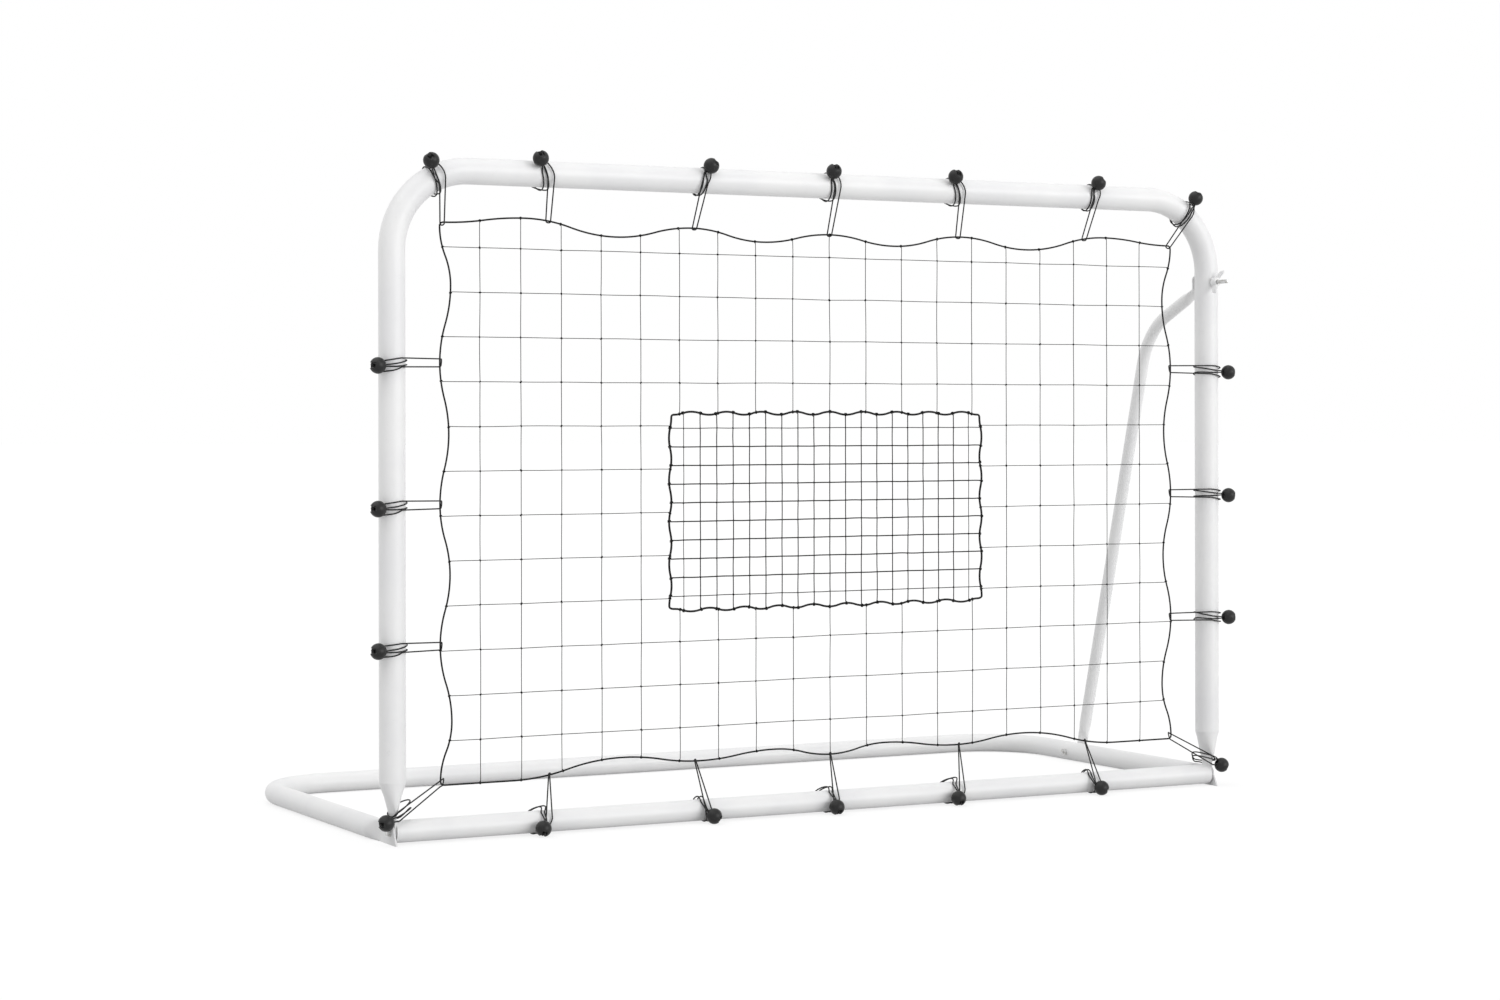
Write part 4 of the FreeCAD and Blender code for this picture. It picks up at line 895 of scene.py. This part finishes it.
def wingNut():
    # Hub: a turned profile with rounded edges. Wing: a superellipse carried along a line that leaves
    # the hub sideways and bends forward, (sin, 1 - cos) of a quarter turn, wide in the wing's plane
    # and thinner towards its tip.
    base, tip, length, bore = (nutShape[k] for k in ("hubBase", "hubTip", "hubLength", "bore"))
    profile = [(bore * 0.5, 0.4), (bore, 0.3), (base - 1.0, 0.0), (base - 0.25, 0.25), (base, 1.0),
               (base, 2.2), (base - 0.5, 3.0), (tip + 0.8, length * 0.6), (tip + 0.2, length - 1.8),
               (tip - 0.4, length - 0.6), (tip - 1.4, length), (bore + 1.2, length),
               (bore + 0.3, length - 0.6), (bore + 0.05, length - 1.6), (bore * 0.5, length - 1.7)]
    hub = lathe(profile, nutShape["hubSides"])
    t = np.linspace(0, np.pi / 2, 40)
    (startOut, startUp), (goOut, goUp) = nutShape["root"], nutShape["run"]
    line = np.stack([startOut + goOut * np.sin(t) ** 0.9, 0 * t,
                     startUp + goUp * (1 - np.cos(t)) ** 0.85], 1)
    line = soften(resample(line, 0.6)[0], 6)
    share = np.linspace(0, 1, len(line))
    width = nutShape["wingHalf"] + nutShape["belly"] * np.sin(share * np.pi)
    width = width * np.sqrt(np.clip(1 - share ** 7, 0.004, 1))
    thick = (nutShape["thick"] - smooth(share * 1.6)) / width
    thick = thick * np.sqrt(np.clip(1 - share ** 9, 0.004, 1))
    wings = []
    for sign in (1, -1):
        path = line * (sign, 1, 1)
        ref = np.stack([-np.gradient(path[:, 2]), 0 * share, np.gradient(path[:, 0])], 1)
        wings.append(ringTube(path, unit(ref), width, nutShape["wingSides"], flat=thick,
                              power=nutShape["wingPower"]))
    turn = math.radians(nutShape["turn"])
    out, front = np.array([math.cos(turn), 0, math.sin(turn)]), np.array([0.0, -1.0, 0.0])
    axes = np.stack([out, np.cross(front, out), front])
    place = np.array([layout["postHalf"], -nutShape["seat"], nutShape["rise"]])
    return [scatter(part, place[None], axes[None]) for part in [hub] + wings]

makePiece("clampWingNut", wingNut(), paints["nut_grey"], "wing_nut", ["wing_nut"])
print("wing nut made")

studio = {
    "floorNear": grey(0.58), "floorFar": grey(0.9), "fade": (1.2, 4.5),     # what lights the object
    "floorShade": 0.24, "floorLevel": 1.02, "floorHalf": 200.0,             # what the camera sees
    "worldStrength": 0.66,
    "key": {"strength": 1.7, "from": (0.5, -0.866), "height": 5.0, "angle": 45.0},
    "fill": {"strength": 0.95, "from": (-1.0, 0.0), "height": 70.0, "angle": 70.0},
}
# light that the unshaded floor gives back, so that its glow brings it up to the level seen
floorLight = studio["worldStrength"] + sum(
    studio[k]["strength"] * math.sin(math.radians(studio[k]["height"])) / math.pi for k in ("key", "fill"))

def paleFloor():
    # The camera sees the floor near white, with the object's shadow in its diffuse part. The object
    # gets the light of a plain sheet, darker under it.
    finish = Finish(bpy.data.materials.new("paleFloor"))
    sheet = finish.tree.nodes["Material Output"].inputs["Surface"]
    finish.tree.nodes.remove(finish.shader)
    seen, patch = finish.shown(), finish.noise(1.2)
    place = finish.node("TexCoord", out="Object")
    away = finish.node("VectorMath", {"operation": "LENGTH"}, {0: place}, out="Value")
    cloth = finish.node("BsdfDiffuse", None, {
        "Color": finish.blend(away.between(*studio["fade"]), studio["floorNear"], studio["floorFar"])})
    seenCloth = finish.node("BsdfDiffuse", None, {
        "Color": finish.blend(patch, grey(studio["floorShade"]), grey(studio["floorShade"] * 0.99))})
    glow = finish.node("Emission", None, {
        "Color": grey(1.0), "Strength": studio["floorLevel"] - studio["floorShade"] * floorLight})
    both = finish.node("AddShader", None, {0: seenCloth, 1: glow})
    finish.put(sheet, finish.node("MixShader", None, {0: seen, 1: cloth, 2: both}))
    return finish.holder

half = studio["floorHalf"]
floorMesh = bpy.data.meshes.new("studioFloor")
floorMesh.from_pydata([(-half, -half, 0), (half, -half, 0), (half, half, 0), (-half, half, 0)], [],
                      [(0, 1, 2, 3)])
floorMesh.materials.append(paleFloor())
floor = inScene("studioFloor", floorMesh)
floor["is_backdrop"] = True

sky = Finish(bpy.data.worlds.new("studioWorld"), "BACKGROUND")
strength = sky.node("MapRange", None, {"Value": sky.shown(), "To Min": studio["worldStrength"],
                                                 "To Max": 1.0})
bpy.context.scene.world = sky.shade(Color=grey(1.0), Strength=strength)

for name in ("key", "fill"):
    # a broad, even light: the wider its angle, the softer its shadow
    light = studio[name]
    lamp = bpy.data.lights.new(name + "Light", "SUN")
    lamp.energy, lamp.angle = light["strength"], math.radians(light["angle"])
    holder = inScene(name + "Light", lamp)
    yaw = math.atan2(light["from"][0], -light["from"][1])
    holder.rotation_euler = (math.radians(90 - light["height"]), 0, yaw)

view = {"place": (-2.759, -5.2146, 0.7471), "yaw": -28.0, "roll": -0.1, "lens": 70.08, "shift": -0.0518}
lens = bpy.data.cameras.new("photoCamera")
lens.lens, lens.sensor_width, lens.shift_y = view["lens"], 36.0, view["shift"]
lens.clip_start, lens.clip_end = 0.05, 100.0
camera = inScene("photoCamera", lens)
turned = Matrix.Rotation(math.radians(view["yaw"]), 3, "Z") @ Matrix.Rotation(math.pi / 2, 3, "X")
camera.rotation_euler = (turned @ Matrix.Rotation(math.radians(view["roll"]), 3, "Z")).to_euler()
camera.location = view["place"]
bpy.context.scene.camera = camera
bpy.context.scene.view_settings.view_transform = "Standard"
print("studio made")

low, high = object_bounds()
